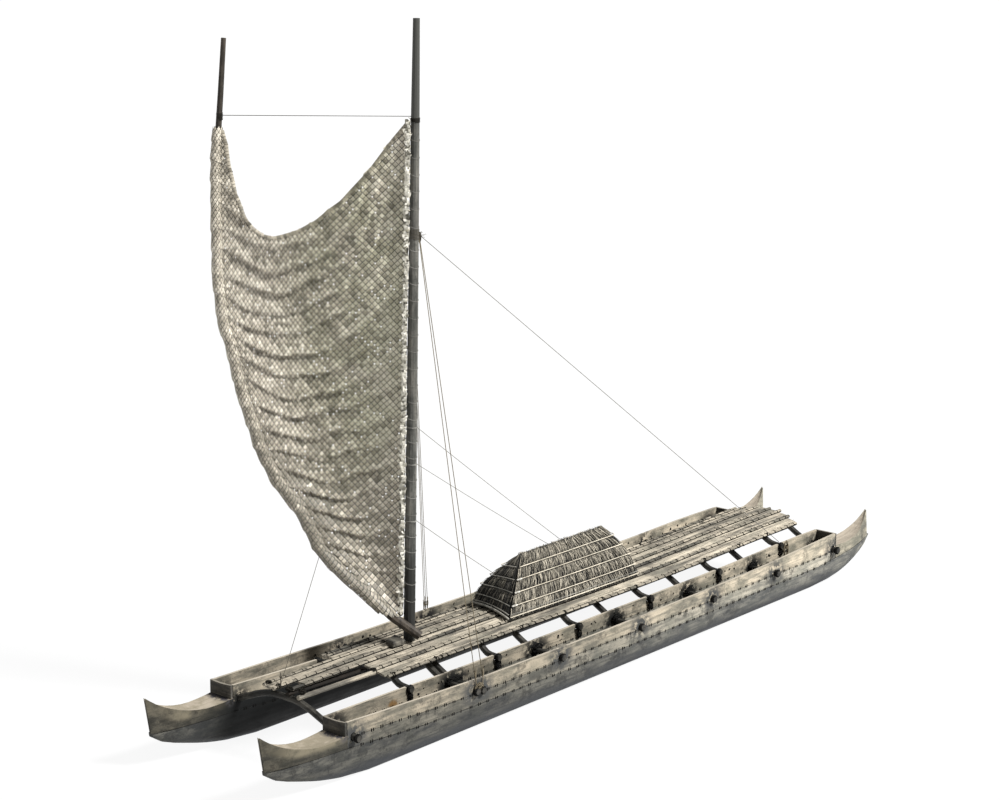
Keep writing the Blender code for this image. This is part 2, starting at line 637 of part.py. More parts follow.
def build_rig():
    mast("mast")
    boom("boom")
    sail_solid("sail")
    mast_chock("mast_chock")
    hound = MAST_FOOT + MAST_UP * HOUND_UP
    last = SHORT_BEAMS[-1]
    beam_top = short_beam_line(last)(BACKSTAY_END_Y) + BEAM_RADIUS
    beam_end = (last, BACKSTAY_END_Y, beam_top + STAY_REST)
    stay("backstay", [hound + Vector((-STAY_OFF, 0.0, 0.0)), beam_end])
    for hand, hull in ((1, "port"), (-1, "starboard")):
        x, low = SHROUD_FEET[hull]
        outside = hand * (HULL_OFFSET + side_y(x, low) + SHROUD_CLEAR)
        edge = Vector((x, outside, gunwale_z(x, hull, hand) + STAY_REST))
        stay(hull + "_shroud", [hound + Vector((0.0, hand * STAY_OFF, 0.0)), edge, (x, outside, low)])


def build_hull(hull, side):
    inboard = -1 if side > 0 else 1
    trim = far_trim if hull == "starboard" else (lambda x: 0.0)
    aft = COCKPIT_AFT[hull]
    log = hull_log(hull + "_hull_log", hull, side)
    holes = beam_holes(hull + "_beam_holes", side)
    notches = short_notches(hull + "_notches", side)
    cut(log, holes)
    for place, hand in (("inboard", inboard), ("outboard", -inboard)):
        def rail(x, hand=hand):
            return gunwale_z(x, hull, hand)

        wash = strake("%s_%s_wash_strake" % (hull, place), hull, side, hand, low_seam, high_seam, WOOD_GREY)
        top = strake("%s_%s_gunwale_strake" % (hull, place), hull, side, hand, high_seam, rail, WOOD_PALE)
        cut(wash, holes)
        cut(top, holes)
        if place == "inboard":
            cut(top, notches)
    bow_piece(hull + "_bow_piece", side, trim)
    stern_piece(hull + "_stern_piece", hull, side)
    splash_x = COCKPIT_FORE + BOARD + GAP
    splash_foot = bow_deck_z(COCKPIT_FORE) + trim(splash_x) + GAP
    splash_top = SPLASH_TOP + trim(splash_x)
    cross_board(hull + "_splash_board", side, splash_x, splash_foot, splash_top, WOOD_PALE, sag=1.0)
    aft_top = AFT_BOARD_TOP + trim(aft)
    cross_board(hull + "_aft_board", side, aft - GAP, low_seam(aft) + GAP, aft_top, WOOD_DARK)


def build():
    for hull, side in (("port", HULL_OFFSET), ("starboard", -HULL_OFFSET)):
        build_hull(hull, side)
    for number, beam in enumerate(THROUGH_BEAMS, 1):
        through_beam("through_beam_%d" % number, *beam)
    for number, x in enumerate(SHORT_BEAMS, 1):
        short_beam("short_beam_%d" % number, x)
    for number, (y, width, fore, aft) in enumerate(DECK_POLES, 1):
        deck_pole("deck_pole_%d" % number, y, width, fore, aft)
    for number, (y, fore, aft) in enumerate(REEDS, 1):
        reed("deck_reed_%d" % number, y, fore, aft)
    bow_beam = through_beam_line(*THROUGH_BEAMS[0])
    fore_z = bow_beam(FORE_POLE[0][1]) + BEAM_RADIUS + GAP + FORE_POLE_RADIUS
    fore_ends = [(*FORE_POLE[0], fore_z), (*FORE_POLE[1], fore_z + FORE_POLE_RISE)]
    tube("fore_pole", fore_ends, FORE_POLE_RADIUS, WOOD_PALE)
    tube("under_pole", UNDER_POLE, UNDER_POLE_RADIUS, WOOD_DARK)
    thatched_roof()
    build_rig()


for leftover in list(bpy.data.objects):
    bpy.data.objects.remove(leftover)
PARTS = new_collection("double_hulled_canoe_model")
CUTTERS = new_collection("cutters")
FRAME = bpy.data.objects.new("plan_frame", None)
PARTS.objects.link(FRAME)
FRAME.location = PLAN_SHIFT * MM
build()
bpy.context.view_layer.update()
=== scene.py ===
"""The look of a double-hulled sailing canoe model: wood, lashings, thatch, plaited sail and rigging.

Lengths are in millimetres in the canoe's own plan and become metres in at().
+X points to the bow, +Y to port and +Z up.
"""
import math
import random

import bpy
import numpy as np
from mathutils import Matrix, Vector


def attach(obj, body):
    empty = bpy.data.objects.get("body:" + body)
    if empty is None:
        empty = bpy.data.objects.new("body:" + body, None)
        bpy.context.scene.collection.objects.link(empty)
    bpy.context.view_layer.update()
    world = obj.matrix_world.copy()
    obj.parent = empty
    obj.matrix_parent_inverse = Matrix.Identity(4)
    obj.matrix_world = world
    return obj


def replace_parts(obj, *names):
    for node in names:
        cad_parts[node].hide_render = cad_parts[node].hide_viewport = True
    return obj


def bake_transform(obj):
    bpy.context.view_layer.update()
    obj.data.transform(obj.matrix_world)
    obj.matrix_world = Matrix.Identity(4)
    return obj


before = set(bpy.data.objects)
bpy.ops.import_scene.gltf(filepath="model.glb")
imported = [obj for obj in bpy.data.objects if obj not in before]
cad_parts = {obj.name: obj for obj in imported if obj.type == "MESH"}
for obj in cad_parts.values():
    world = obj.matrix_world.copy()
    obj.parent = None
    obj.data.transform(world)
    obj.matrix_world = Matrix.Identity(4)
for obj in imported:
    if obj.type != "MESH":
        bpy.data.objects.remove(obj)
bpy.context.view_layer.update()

MM = 0.001
SHIFT = Vector((1.0, 29.9, 0.0))

# Camera, light and table; the camera's place and lens were fitted to the hulls and the mast
CAMERA_AT = (2.339313, 1.931915, 1.036452)
CAMERA_HEADING = -139.66761  # degrees from +X
CAMERA_DIP = 13.17106
CAMERA_LENS = 89.9815
CAMERA_SENSOR = 36.0
SUN_FROM = (-0.24, 0.66, 0.71)
SUN_STRENGTH = 6.0
SUN_SIZE = 14.0
SKY_STRENGTH = 0.45
TABLE_HALF = 40.0
TABLE_TONE = 0.07
TABLE_GLOW = 0.91

# Hulls, as in the part's source
HULL_OFFSET = 89.7
HULLS = (("port", HULL_OFFSET), ("starboard", -HULL_OFFSET))
COCKPIT_FORE = 482.0
COCKPIT_AFT = {"port": -492.0, "starboard": -504.0}
PLANK = 3.2
HALF_BEAM = [(-602, 1.8), (-588, 5.5), (-560, 11), (-530, 14.5), (-492, 17.2), (-400, 20),
             (-200, 21.5), (0, 22), (200, 21.5), (400, 20), (485, 17.5), (515, 16), (545, 13),
             (570, 9.3), (590, 4.2), (600, 1.3)]
LOW_SEAM = [(-602, 43.2), (-560, 38.5), (-492, 34.5), (-450, 32.4), (-353, 32.7), (-271, 32.5),
            (-170, 31.6), (-43, 30.9), (38, 31.1), (116, 32), (191, 33), (264, 33.3), (316, 34),
            (359, 34.6), (401, 36.8), (461, 40.4), (489, 41.6), (528, 42.2), (560, 42.4), (600, 42.5)]
HIGH_SEAM = [(-504, 46.6), (-449, 46.4), (-352, 47.4), (-259, 47.4), (-170, 47), (-42, 46.9),
             (39, 46.9), (116, 47.5), (200, 47.9), (294, 48.3), (333, 49.2), (367, 50.8), (400, 52.1),
             (433, 52.8), (485, 53.3)]
SHEER = [(-504, 70.2), (-416, 69), (-324, 66.3), (-226, 65), (-118, 64.8), (36, 64.6), (185, 65.2),
         (273, 66), (343, 68), (450, 70.7), (485, 71.7)]
OUTER_DIP = 1.6              # how far the port hull's outer gunwale dips amidships
FAR_TRIM = (0.0042, -0.55)   # slope and lift of the starboard gunwales against the port ones

# Deck and beams, as in the part's source
DECK_CREST = [(-510, 86.9), (-386, 85.7), (-270, 83.4), (-150, 81.9), (-20, 82.9), (150, 85.7),
              (300, 86.4), (490, 86.9)]
DECK_DROP = 7.0
DECK_HALF = 53.0
PLANK_DEEP = 2.4
REED = 2.3
REEDS = [(53.8, 359, -473), (34.2, 359, -484), (14.0, 473, -493), (-2.0, 487, 272.5),
         (-2.0, 255.5, -491), (-22.4, 482, -492), (-41.2, 360, -487), (-54.0, 357, -482)]
BEAM_RADIUS = 4.0
THROUGH_BEAMS = [(472.5, 56.2, 52.4), (273.0, 51.4, 51.4), (262.6, 50.4, 50.4), (115.8, 51.6, 51.6),
                 (-41.8, 49.8, 49.8), (-195.5, 49.2, 49.2), (-340.6, 49.6, 49.6), (-486.0, 48.6, 48.6)]
SHORT_BEAMS = [344.0, 189.0, 34.0, -112.0, -262.0, -406.0]
SHORT_END = 77.5

# Deck house, as in the part's source: its four hips as (level, x, y)
HUT_TOP = 144.6
HUT_LIFT = 2.7
HIP_PORT_FORE = [(0.0, 127, 38.5), (0.2, 115.5, 32.2), (0.4, 102, 25.0), (0.6, 88.5, 17.2),
                 (0.8, 75, 9.2), (1.0, 60, 0.8)]
HIP_FAR_FORE = [(0.0, 104, 38.5), (0.2, 101.5, 36.0), (0.4, 98, 29.5), (0.6, 91.5, 19.5),
                (0.8, 81, 10.0), (1.0, 60, 0.8)]
HIP_AFT = [(0.0, -132, 38.5), (0.2, -130.5, 32.2), (0.4, -127.5, 25.0), (0.6, -122.5, 17.2),
           (0.8, -115, 9.2), (1.0, -102, 0.8)]

# Rig, as in the part's source
MAST_FOOT = Vector((264.0, 0.0, 86.9))
MAST_HEAD = Vector((243.0, 0.0, 814.7))
SAIL_HEADING = math.radians(-50.0)
MAST_RADII = [(0, 7.0), (300, 6.4), (600, 5.2), (728, 4.0)]
SAIL_FOOT = 43.0
SAIL_LUFF = 9.0
SAIL_PEAK = 217.0
SAIL_EDGE_GAP = 0.5
SAIL_BELLY = 16.0
BOOM_STANDOFF = 13.0
BOOM_MEETS = (15.0, 125.0)
BOOM_LINE = [(-13, 9.5), (19.4, 32), (40.4, 51), (82.2, 87), (104, 110), (125, 151.5),
             (154.5, 190.5), (174, 229), (196.5, 297.5), (208.4, 350), (217.3, 376.5), (223.6, 429),
             (225, 507), (225.3, 567), (222.6, 603), (220.2, 640), (216.6, 702)]
HEAD_LINE = [(6, 616), (27, 590), (52.5, 555), (84, 520), (96, 511), (112, 497), (131, 486), (148, 480),
             (160, 477), (171, 479), (183, 487), (192, 499), (202, 525), (210, 560), (213, 583), (218.7, 603)]
BOOM_RADII = [(0, 5.6), (180, 5.4), (520, 4.0), (760, 2.6)]
HOUND_REAL = 484.0
BACKSTAY_END_Y = 71.0
PORT_SHROUD_FOOT = (268.0, 51.0)   # place along the hull, and how low its lashings reach
FAR_SHROUD_FOOT = (109.5, 53.0)
PORT_SHROUD_AFT = 0.87       # it starts this far aft on the mast, as a share of the radius
HEAD_CORD_UP = 614.0         # height of the line above the sail's head
BOW_LINE_START = (106.0, 103.0)    # on the boom, out from the mast and up it
BOW_LINE_END = (474.0, -3.0, 88.0)
COIL_AT = (-414.0, 77.5, 60.0)

# Small forms
RIBBON = [(0, 1, 3, 2), (2, 3, 5, 4)]   # faces of a strip given as three pairs of points
WRAP_JITTER = 0.12           # unevenness of a turn of cord along its rod, as a share of the cord
WRAP_OUT = (0.65, 1.1)       # how far off the rod a turn lies, as shares of the cord
KNOT_TURN = 6.28             # arcs in a knot start anywhere on their circle
KNOT_SWEEP = (1.6, 3.6)      # and run on this far, in radians
KNOT_SIZE = (0.72, 1.05)
STITCH_STEP = 15.0           # from one stitch or tie to the next

# Wood; noise scales are per metre
GRAIN_SCALE = 260.0
GRAIN_ALONG = 12.0
WEATHER_SCALE = 75.0
SPECK_SCALE = 560.0
GAIN_RUN = (-0.50, 0.35)     # from the stern to the bow
INBOARD_FACE = 0.068         # where the hulls' facing sides begin, across the canoe
SPOT_SQUEEZE = (0.8, 1.0, 1.0)

# The plaited sail
STRIP = 5.2                  # width of a plaited strip
STRIP_RISE = 0.34            # how far a strip stands out where it passes over another
STRIP_HALF = 0.46            # half of a strip's own width, as a share of its place
STRIP_BENDS = (0.0, 0.16, 0.86)   # where a strip bends within each place
PINHOLE = 0.17               # how far strips draw back round a small hole, as a share of a place
GATHER = [(-60, -60), (95, 95), (135, 130), (185, 166), (360, 275)]   # strips are narrower near the boom
MAT_FOOT = 31.0              # the matting's lowest point up the mast
LUFF_CLEAR = 0.4             # between the mast and the matting
FOLD_PITCH = 25.5            # up the mast from one sagging fold to the next
FOLD_DEPTH = 5.2
FOLD_TUCK = 0.13             # share of a fold in which the matting tucks back under it
FOLD_SAG = [(0, 139), (27, 113), (52, 78), (84, 43), (112, 20), (148, 3), (160, 0), (240, 0)]
FOLD_EDGE_LIFT = 26.0        # how far the folds climb towards the boom
FOLD_EDGE_REACH = 64.0
HEAD_LOW = 477.0             # lowest point of the crescent head
WRAP_TURN = 3.35             # how far the matting goes round the boom, in radians
WRAP_OFF = 1.1               # how far off the boom the matting lies where it goes round
WRAP_FOLDS = 0.16            # share of the folds that goes on round the boom
BOOM_FLAT = 14.0             # the folds die out this far from the boom
CRUMPLE_EDGE = 5.0           # how far the matting's edge stands up beside the mast
CRUMPLE_REACH = 30.0         # how far out from the mast it is bunched
SLACK = 1.1                  # slow waves all over
SAIL_TOP = 700.0
STRIP_EDGES = (-1.0, -0.72, 0.80, 1.0)    # across a strip: painted shade side, flat middle, painted highlight side
STRIP_CURL = (-0.25, 0.05, 0.1, -0.1)     # rise of those, as shares of STRIP_RISE
PLAIT_RANGES = ((4, 172), (-46, 124))     # places up and across the sail, counted in strips
HOLE_SHIFT = 60              # keeps the places' numbers above zero
STRIP_TONE = (0.62, 0.05)    # middle and spread from strip to strip
PLACE_TONE = 0.10            # spread from place to place
DARKEST = 0.33
EDGE_SHADE_TONE = -0.62             # painted shade along the lower edge and the lower end of each strip
TUCK_SHADE_TONE = -0.3             # more painted shade, where a fold tucks under
# painted highlights at the upper end of each place and along the upper edge of each strip
END_HIGHLIGHT_TONE = 0.08
EDGE_HIGHLIGHT_TONE = 0.20
LIT_STRIP_TONE = 0.42           # every third strip beside the mast catches the light
BORDER_STEP = 3.7            # one turn of the head's border
BORDER_END = 216.5
LUFF_TOP = 611.0
SHROUD_PASS = (436.0, 490.0)   # the luff lies flat here, where the port shroud passes at the swing's end
FLAT_LUFF = 4.2              # and stands off the sail's plane by no more than this
BOOM_LACED = (46.0, 598.0)   # heights up the mast between which the boom is laced
LACING_STEP = 11.0
LACING_TURN = (-4.0, -1.0, 3.0, 7.0, 11.0, 15.0)   # a turn of boom lacing, out from the boom's near side

# Deck house and deck details
ROOF_ROWS = 5
LEAF_STEP = 0.27
RIDGE_AFT = -104.0
RIDGE_LONG = 165.0
RIDGE_TUFTS = 1300
FORE_PAINTED_SHADE = -0.34           # painted shade: the fore slope's leaves are this much darker, as that slope faces away from the sun
BATTEN_LEVELS = (0.2, 0.4, 0.6, 0.8)
GUNWALE_HOLES = 46           # for each hull
MAST_LACED_TO = 612.0
LACE_STEP = 19.5             # from one turn of cord round the mast to the next
AFT_LINES = ((258.0, (-40.0, -13.0, 138.0)), (214.0, (-22.0, -17.0, 135.0)), (146.0, (76.0, -22.0, 117.0)))
LINE_LEVELS = [up for up, target in AFT_LINES] + [HOUND_REAL - 2.0]   # where lines are made fast to the mast


def at(x, y, z):
    """A point of the canoe in the row frame, in metres."""
    return (Vector((x, y, z)) + SHIFT) * MM


def step(x, y, z):
    """A step in the canoe's plan, in metres."""
    return Vector((x, y, z)) * MM


def held(value, low=0.0, high=1.0):
    return min(max(value, low), high)


def rising(value, start, reach):
    """0 up to start, and 1 from reach beyond it."""
    return np.clip((value - start) / reach, 0, 1)


def falling(value, start, reach):
    """0 from start on, and 1 from reach before it."""
    return np.clip((start - value) / reach, 0, 1)


def smooth_line(points):
    """A monotone cubic through (x, value) points, as a function of x."""
    xs, ys = zip(*sorted(points))
    steps = [(ys[i + 1] - ys[i]) / (xs[i + 1] - xs[i]) for i in range(len(xs) - 1)]
    slopes = [steps[0]]
    for before, after in zip(steps, steps[1:]):
        slopes.append(0.0 if before * after <= 0 else 2.0 * before * after / (before + after))
    slopes.append(steps[-1])

    def value(x):
        x = held(x, xs[0], xs[-1])
        i = max(k for k in range(len(xs) - 1) if xs[k] <= x)
        h = xs[i + 1] - xs[i]
        t = (x - xs[i]) / h
        return (ys[i] * (1 + 2 * t) * (1 - t) ** 2 + slopes[i] * h * t * (1 - t) ** 2
                + ys[i + 1] * t * t * (3 - 2 * t) + slopes[i + 1] * h * t * t * (t - 1))

    return value


def straight_line(points):
    """Straight lines between (x, value) points, as a function of a number or an array."""
    xs, ys = zip(*sorted(points))
    return lambda x: np.interp(x, xs, ys)


half_beam = smooth_line(HALF_BEAM)
low_seam = smooth_line(LOW_SEAM)
high_seam = smooth_line(HIGH_SEAM)
sheer_z = smooth_line(SHEER)
deck_crest = smooth_line(DECK_CREST)
mast_radius = straight_line(MAST_RADII)
boom_radius = straight_line(BOOM_RADII)
head_up = straight_line(HEAD_LINE)
boom_out = straight_line([(up, out) for out, up in BOOM_LINE])
fold_sag = straight_line(FOLD_SAG)
gather = straight_line(GATHER)


def side_y(x, z):
    """Half width of a hull's outside at height z."""
    low, high, top = low_seam(x), high_seam(x), sheer_z(x)
    if z <= high:
        share = 0.97 + 0.03 * held((z - low) / max(high - low, 1.0))
    else:
        share = 1.0 - 0.02 * min((z - high) / (top - high), 1.0)
    return half_beam(x) * share


def gunwale_z(x, hull, hand):
    """Top edge of a hull's side; hand is +1 for its port face and -1 for its starboard face."""
    if hull == "starboard":
        return sheer_z(x) + FAR_TRIM[0] * x + FAR_TRIM[1]
    dip = OUTER_DIP * max(1 - (x / COCKPIT_FORE) ** 2, 0.0) if hand > 0 else 0.0
    return sheer_z(x) - dip


def deck_top(x, y):
    return deck_crest(x) - DECK_DROP * (y / DECK_HALF) ** 2


MAST_UP = (MAST_HEAD - MAST_FOOT).normalized()
OUT_LEVEL = Vector((math.cos(SAIL_HEADING), math.sin(SAIL_HEADING), 0.0))
SAIL_OUT = (OUT_LEVEL - MAST_UP * OUT_LEVEL.dot(MAST_UP)).normalized()
SAIL_SIDE = MAST_UP.cross(SAIL_OUT)


def rig_point(out, up, side=0.0):
    """A point of the sail's plane: out from the mast, up it, and off to the side."""
    p = MAST_FOOT + SAIL_OUT * out + MAST_UP * up + SAIL_SIDE * side
    return at(*p)


def boom_side(out):
    share = (out - BOOM_MEETS[0]) / (BOOM_MEETS[1] - BOOM_MEETS[0])
    return BOOM_STANDOFF * np.clip(1 - share, 0.0, 1.0)


# Small forms gathered into joined meshes

def placed(name, data):
    """A new object in the scene."""
    made = bpy.data.objects.new(name, data)
    bpy.context.scene.collection.objects.link(made)
    return made


class Pile:
    """Many small forms in one mesh, each with a tone between 0 and 1 for its material."""

    def __init__(self, seed=1):
        self.points = []
        self.faces = []
        self.tones = []
        self.random = random.Random(seed)

    def add(self, points, faces, tone=0.5):
        first = len(self.points)
        self.points.extend(tuple(p) for p in points)
        self.faces.extend([first + i for i in face] for face in faces)
        self.tones.extend([tone] * len(faces))

    def tube(self, line, radius, sides=5, tone=0.5, closed=False):
        """A cord or rod along points in metres; radius is in millimetres, one or one for each point."""
        line = [Vector(p) for p in line]
        count = len(line)
        radii = radius if isinstance(radius, (list, tuple)) else [radius] * count
        before = line[-1] if closed else line[0] * 2 - line[1]
        first = (line[1] - before).normalized()
        normal = first.orthogonal().normalized()
        points = []
        for i, p in enumerate(line):
            ahead = line[(i + 1) % count] if closed or i < count - 1 else p * 2 - line[i - 1]
            behind = line[i - 1] if closed or i > 0 else p * 2 - line[1]
            along = (ahead - behind).normalized()
            normal = (normal - along * normal.dot(along)).normalized()
            across = along.cross(normal)
            for k in range(sides):
                angle = 2 * math.pi * k / sides
                points.append(p + (normal * math.cos(angle) + across * math.sin(angle)) * radii[i] * MM)
        faces = []
        for i in range(count if closed else count - 1):
            j = (i + 1) % count
            for k in range(sides):
                m = (k + 1) % sides
                faces.append((i * sides + k, i * sides + m, j * sides + m, j * sides + k))
        if not closed:
            faces.append(tuple(reversed(range(sides))))
            faces.append(tuple(range((count - 1) * sides, count * sides)))
        self.add(points, faces, tone)

    def wraps(self, centre, axis, radius, width, turns, cord, tone=0.5, sides=4, steps=9):
        """Turns of cord round a rod: centre in metres, the rest in millimetres."""
        axis = Vector(axis).normalized()
        one = axis.orthogonal().normalized()
        two = axis.cross(one)
        line = []
        for i in range(int(turns * steps) + 1):
            angle = 2 * math.pi * i / steps
            jitter = self.random.uniform(-WRAP_JITTER, WRAP_JITTER) * cord
            along = (i / (turns * steps) - 0.5) * width + jitter
            off = radius + cord * self.random.uniform(*WRAP_OUT)
            around = one * math.cos(angle) + two * math.sin(angle)
            line.append(Vector(centre) + (axis * along + around * off) * MM)
        self.tube(line, cord, sides, tone)

    def knot(self, centre, size, count, cord=0.5, tone=(0.1, 0.5)):
        """A tangle of fibre: arcs on an egg-shaped surface."""
        rnd = self.random
        for _ in range(count):
            pole = Vector((rnd.gauss(0, 1), rnd.gauss(0, 1), rnd.gauss(0, 1))).normalized()
            one = pole.orthogonal().normalized()
            two = pole.cross(one)
            start, sweep = rnd.uniform(0, KNOT_TURN), rnd.uniform(*KNOT_SWEEP)
            scale = rnd.uniform(*KNOT_SIZE)
            line = []
            for i in range(6):
                angle = start + sweep * i / 5
                p = (one * math.cos(angle) + two * math.sin(angle) + pole * 0.25) * scale
                line.append(Vector(centre) + Vector((p.x * size[0], p.y * size[1], p.z * size[2])) * MM)
            self.tube(line, cord, 4, rnd.uniform(*tone))

    def make(self, name, material, body="canoe", smooth=True):
        mesh = bpy.data.meshes.new(name)
        mesh.from_pydata(self.points, [], self.faces)
        tones = mesh.attributes.new("tone", "FLOAT", "FACE")
        tones.data.foreach_set("value", np.array(self.tones, np.float32))
        if smooth:
            mesh.shade_smooth()
        mesh.materials.append(material)
        made = placed(name, mesh)
        if body:
            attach(made, body)
        return made


# Materials

class Graph:
    """Short-hand for the nodes of one material."""

    def __init__(self, name):
        self.material = bpy.data.materials.new(name)
        self.material.use_nodes = True
        self.tree = self.material.node_tree
        self.shader = self.tree.nodes["Principled BSDF"]
        self.place = self.node("ShaderNodeTexCoord").outputs["Object"]

    def node(self, kind, inputs=None, **settings):
        made = self.tree.nodes.new(kind)
        for key, value in settings.items():
            setattr(made, key, value)
        for key, value in (inputs or {}).items():
            self.feed(made.inputs[key], value)
        return made

    def feed(self, socket, value):
        if isinstance(value, bpy.types.NodeSocket):
            self.tree.links.new(value, socket)
        else:
            socket.default_value = value

    def stretched(self, scale):
        return self.node("ShaderNodeMapping", {"Vector": self.place, "Scale": scale}).outputs["Vector"]

    def noise(self, scale, detail=3.0, vector=None, rough=0.55):
        return self.node("ShaderNodeTexNoise", {"Vector": vector or self.place, "Scale": scale,
                                                "Detail": detail, "Roughness": rough}).outputs["Fac"]

    def ramp(self, value, *stops):
        made = self.node("ShaderNodeValToRGB", {"Fac": value})
        band = made.color_ramp
        while len(band.elements) < len(stops):
            band.elements.new(0.5)
        for element, (place, colour) in zip(band.elements, stops):
            element.position = place
            element.color = (*colour, 1.0)
        return made.outputs["Color"]

    def mix(self, share, a, b, kind="MIX"):
        made = self.node("ShaderNodeMix", data_type="RGBA", blend_type=kind)
        for index, value in ((0, share), (6, a), (7, b)):
            if isinstance(value, tuple):
                value = (*value, 1.0)
            self.feed(made.inputs[index], value)
        return made.outputs[2]

    def sum(self, kind, a, b=0.0):
        made = self.node("ShaderNodeMath", operation=kind)
        self.feed(made.inputs[0], a)
        self.feed(made.inputs[1], b)
        return made.outputs["Value"]

    def times(self, first, *others):
        for other in others:
            first = self.sum("MULTIPLY", first, other)
        return first

    def shared(self, a, b, share):
        """a and b added up, with b's share of the whole."""
        return self.sum("ADD", self.times(a, 1.0 - share), self.times(b, share))

    def limits(self, value, low, high, to_low=0.0, to_high=1.0):
        return self.node("ShaderNodeMapRange", {"Value": value, "From Min": low, "From Max": high,
                                                "To Min": to_low, "To Max": to_high},
                         interpolation_type="SMOOTHSTEP").outputs["Result"]

    def axis(self, index):
        return self.node("ShaderNodeSeparateXYZ", {"Vector": self.place}).outputs[index]

    def facing(self, index):
        normal = self.node("ShaderNodeNewGeometry").outputs["True Normal"]
        return self.node("ShaderNodeSeparateXYZ", {"Vector": normal}).outputs[index]

    def facing_up(self, low=0.35, high=0.8):
        return self.limits(self.facing(2), low, high)

    def spots(self, centres, radius, stretch=(1.0, 1.0, 1.0)):
        """1 near any of the points in metres, 0 further off than radius millimetres."""
        place = self.stretched(stretch)
        best = None
        for centre in centres:
            centre = tuple(c * s for c, s in zip(centre, stretch))
            far = self.node("ShaderNodeVectorMath", {0: place, 1: centre}, operation="DISTANCE")
            mask = self.limits(far.outputs["Value"], radius * MM, radius * 0.3 * MM)
            best = mask if best is None else self.sum("MAXIMUM", best, mask)
        return best

    def tone(self):
        return self.node("ShaderNodeAttribute", attribute_name="tone").outputs["Fac"]

    def bump(self, height, strength, depth):
        return self.node("ShaderNodeBump", {"Height": height, "Strength": strength,
                                            "Distance": depth * MM}).outputs["Normal"]

    def finish(self, colour, roughness, normal=None, specular=0.14):
        self.feed(self.shader.inputs["Base Color"], colour)
        self.feed(self.shader.inputs["Roughness"], roughness)
        self.shader.inputs["Specular IOR Level"].default_value = specular
        if normal:
            self.feed(self.shader.inputs["Normal"], normal)
        return self.material


def shade(colour, share):
    return tuple(share * c for c in colour)


def wood(name, pale, middle, dark, along=0, soak=0.5, spots=None, top=None, roughness=0.72, zones=None,
         gain=None, streak=22.0):
    """Dry hand-carved wood: fine grain along one axis, broad weathering and soaked-in stain.

    spots are darker patches as (points, radius, colour, stretch), one of them a painted shadow. zones are
    functions of the graph that give a mask, each with a colour. top is a paler colour for what faces up,
    which is painted light, and gain lightens from stern to bow.
    """
    g = Graph(name)
    fine, broad = [GRAIN_SCALE] * 3, [WEATHER_SCALE] * 3
    fine[along], broad[along] = GRAIN_ALONG, streak
    grain = g.noise(1.0, 6.0, g.stretched(fine), 0.62)
    weather = g.noise(1.0, 6.0, g.stretched(broad), 0.66)
    speck = g.noise(SPECK_SCALE, 2.0)
    colour = g.ramp(weather, (0.38, dark), (0.475, middle), (0.57, pale))
    colour = g.mix(g.limits(grain, 0.45, 0.63, 0.0, 0.62), colour, dark)
    stain = g.limits(g.noise(34.0, 9.0, None, 0.78), 0.51, 0.60, 0.0, soak)
    colour = g.mix(stain, colour, shade(dark, 0.5))
    olive = g.limits(g.noise(30.0, 3.0), 0.48, 0.66, 0.0, 0.45)
    colour = g.mix(olive, colour, (0.62 * middle[0], 0.66 * middle[1], 0.66 * middle[2]))
    colour = g.mix(g.limits(speck, 0.58, 0.70, 0.0, 0.55), colour, shade(dark, 0.5))
    if gain:
        colour = g.mix(1.0, colour, g.limits(g.axis(0), *GAIN_RUN, *gain), "MULTIPLY")
    # Painted light: what faces up takes the paler top colour.
    if top:
        colour = g.mix(g.facing_up(), colour, g.ramp(grain, (0.3, top), (0.75, shade(top, 0.62))))
    for mask, tint in zones or ():
        colour = g.mix(mask(g), colour, tint)
    for centres, radius, tint, stretch in spots or ():
        ragged = g.limits(g.noise(110.0, 8.0, None, 0.7), 0.40, 0.52)
        colour = g.mix(g.times(g.spots(centres, radius, stretch), ragged), colour, tint)
    return g.finish(colour, g.limits(weather, 0.3, 0.7, roughness - 0.12, roughness + 0.12),
                    g.bump(g.shared(grain, speck, 0.3), 0.6, 0.5))


def inboard_shade(g):
    """Painted shade: the hulls' outsides that face each other are painted black between the cockpit's ends,
    where the deck and the other hull shade them.
    """
    across = g.sum("SUBTRACT", g.axis(1), SHIFT.y * MM)
    inward = g.limits(g.times(g.sum("DIVIDE", across, -INBOARD_FACE), g.facing(1)), 0.35, 0.75)
    near = g.limits(g.sum("ABSOLUTE", across), 0.0815, 0.0785)
    along = g.limits(g.sum("ABSOLUTE", g.axis(0)), 0.565, 0.475)
    return g.times(inward, near, along)


def pale_bow_band(g):
    """A paler, patchy band under the top edge of the bow pieces, which rises towards the stem."""
    level = g.sum("SUBTRACT", g.axis(2), g.times(g.limits(g.axis(0), 0.55, 0.61), 0.016))
    patchy = g.limits(g.noise(28.0, 6.0, None, 0.7), 0.36, 0.58, 0.05, 0.75)
    reach = g.times(g.limits(g.axis(0), 0.47, 0.50), g.limits(g.axis(0), 0.595, 0.545, 0.3, 1.0))
    return g.times(g.times(g.limits(level, 0.047, 0.054), patchy), reach)


def shaded_log_bottom(g):
    """Painted shade: the bottom of the logs, darker and bluer towards the ground."""
    return g.limits(g.axis(2), 0.024, 0.003)


def between(index, low, high, soft):
    """A mask that is 1 between two places along an axis, in metres."""
    return lambda g: g.times(g.limits(g.axis(index), low - soft, low),
                             g.limits(g.axis(index), high + soft, high))


def fibre(name, dark, pale, roughness=0.85):
    """Twisted plant fibre whose strands differ in tone."""
    g = Graph(name)
    strand = g.noise(900.0, 3.0)
    colour = g.ramp(g.shared(g.tone(), strand, 0.25), (0.1, dark), (0.9, pale))
    return g.finish(colour, roughness, g.bump(strand, 0.6, 0.2), 0.1)


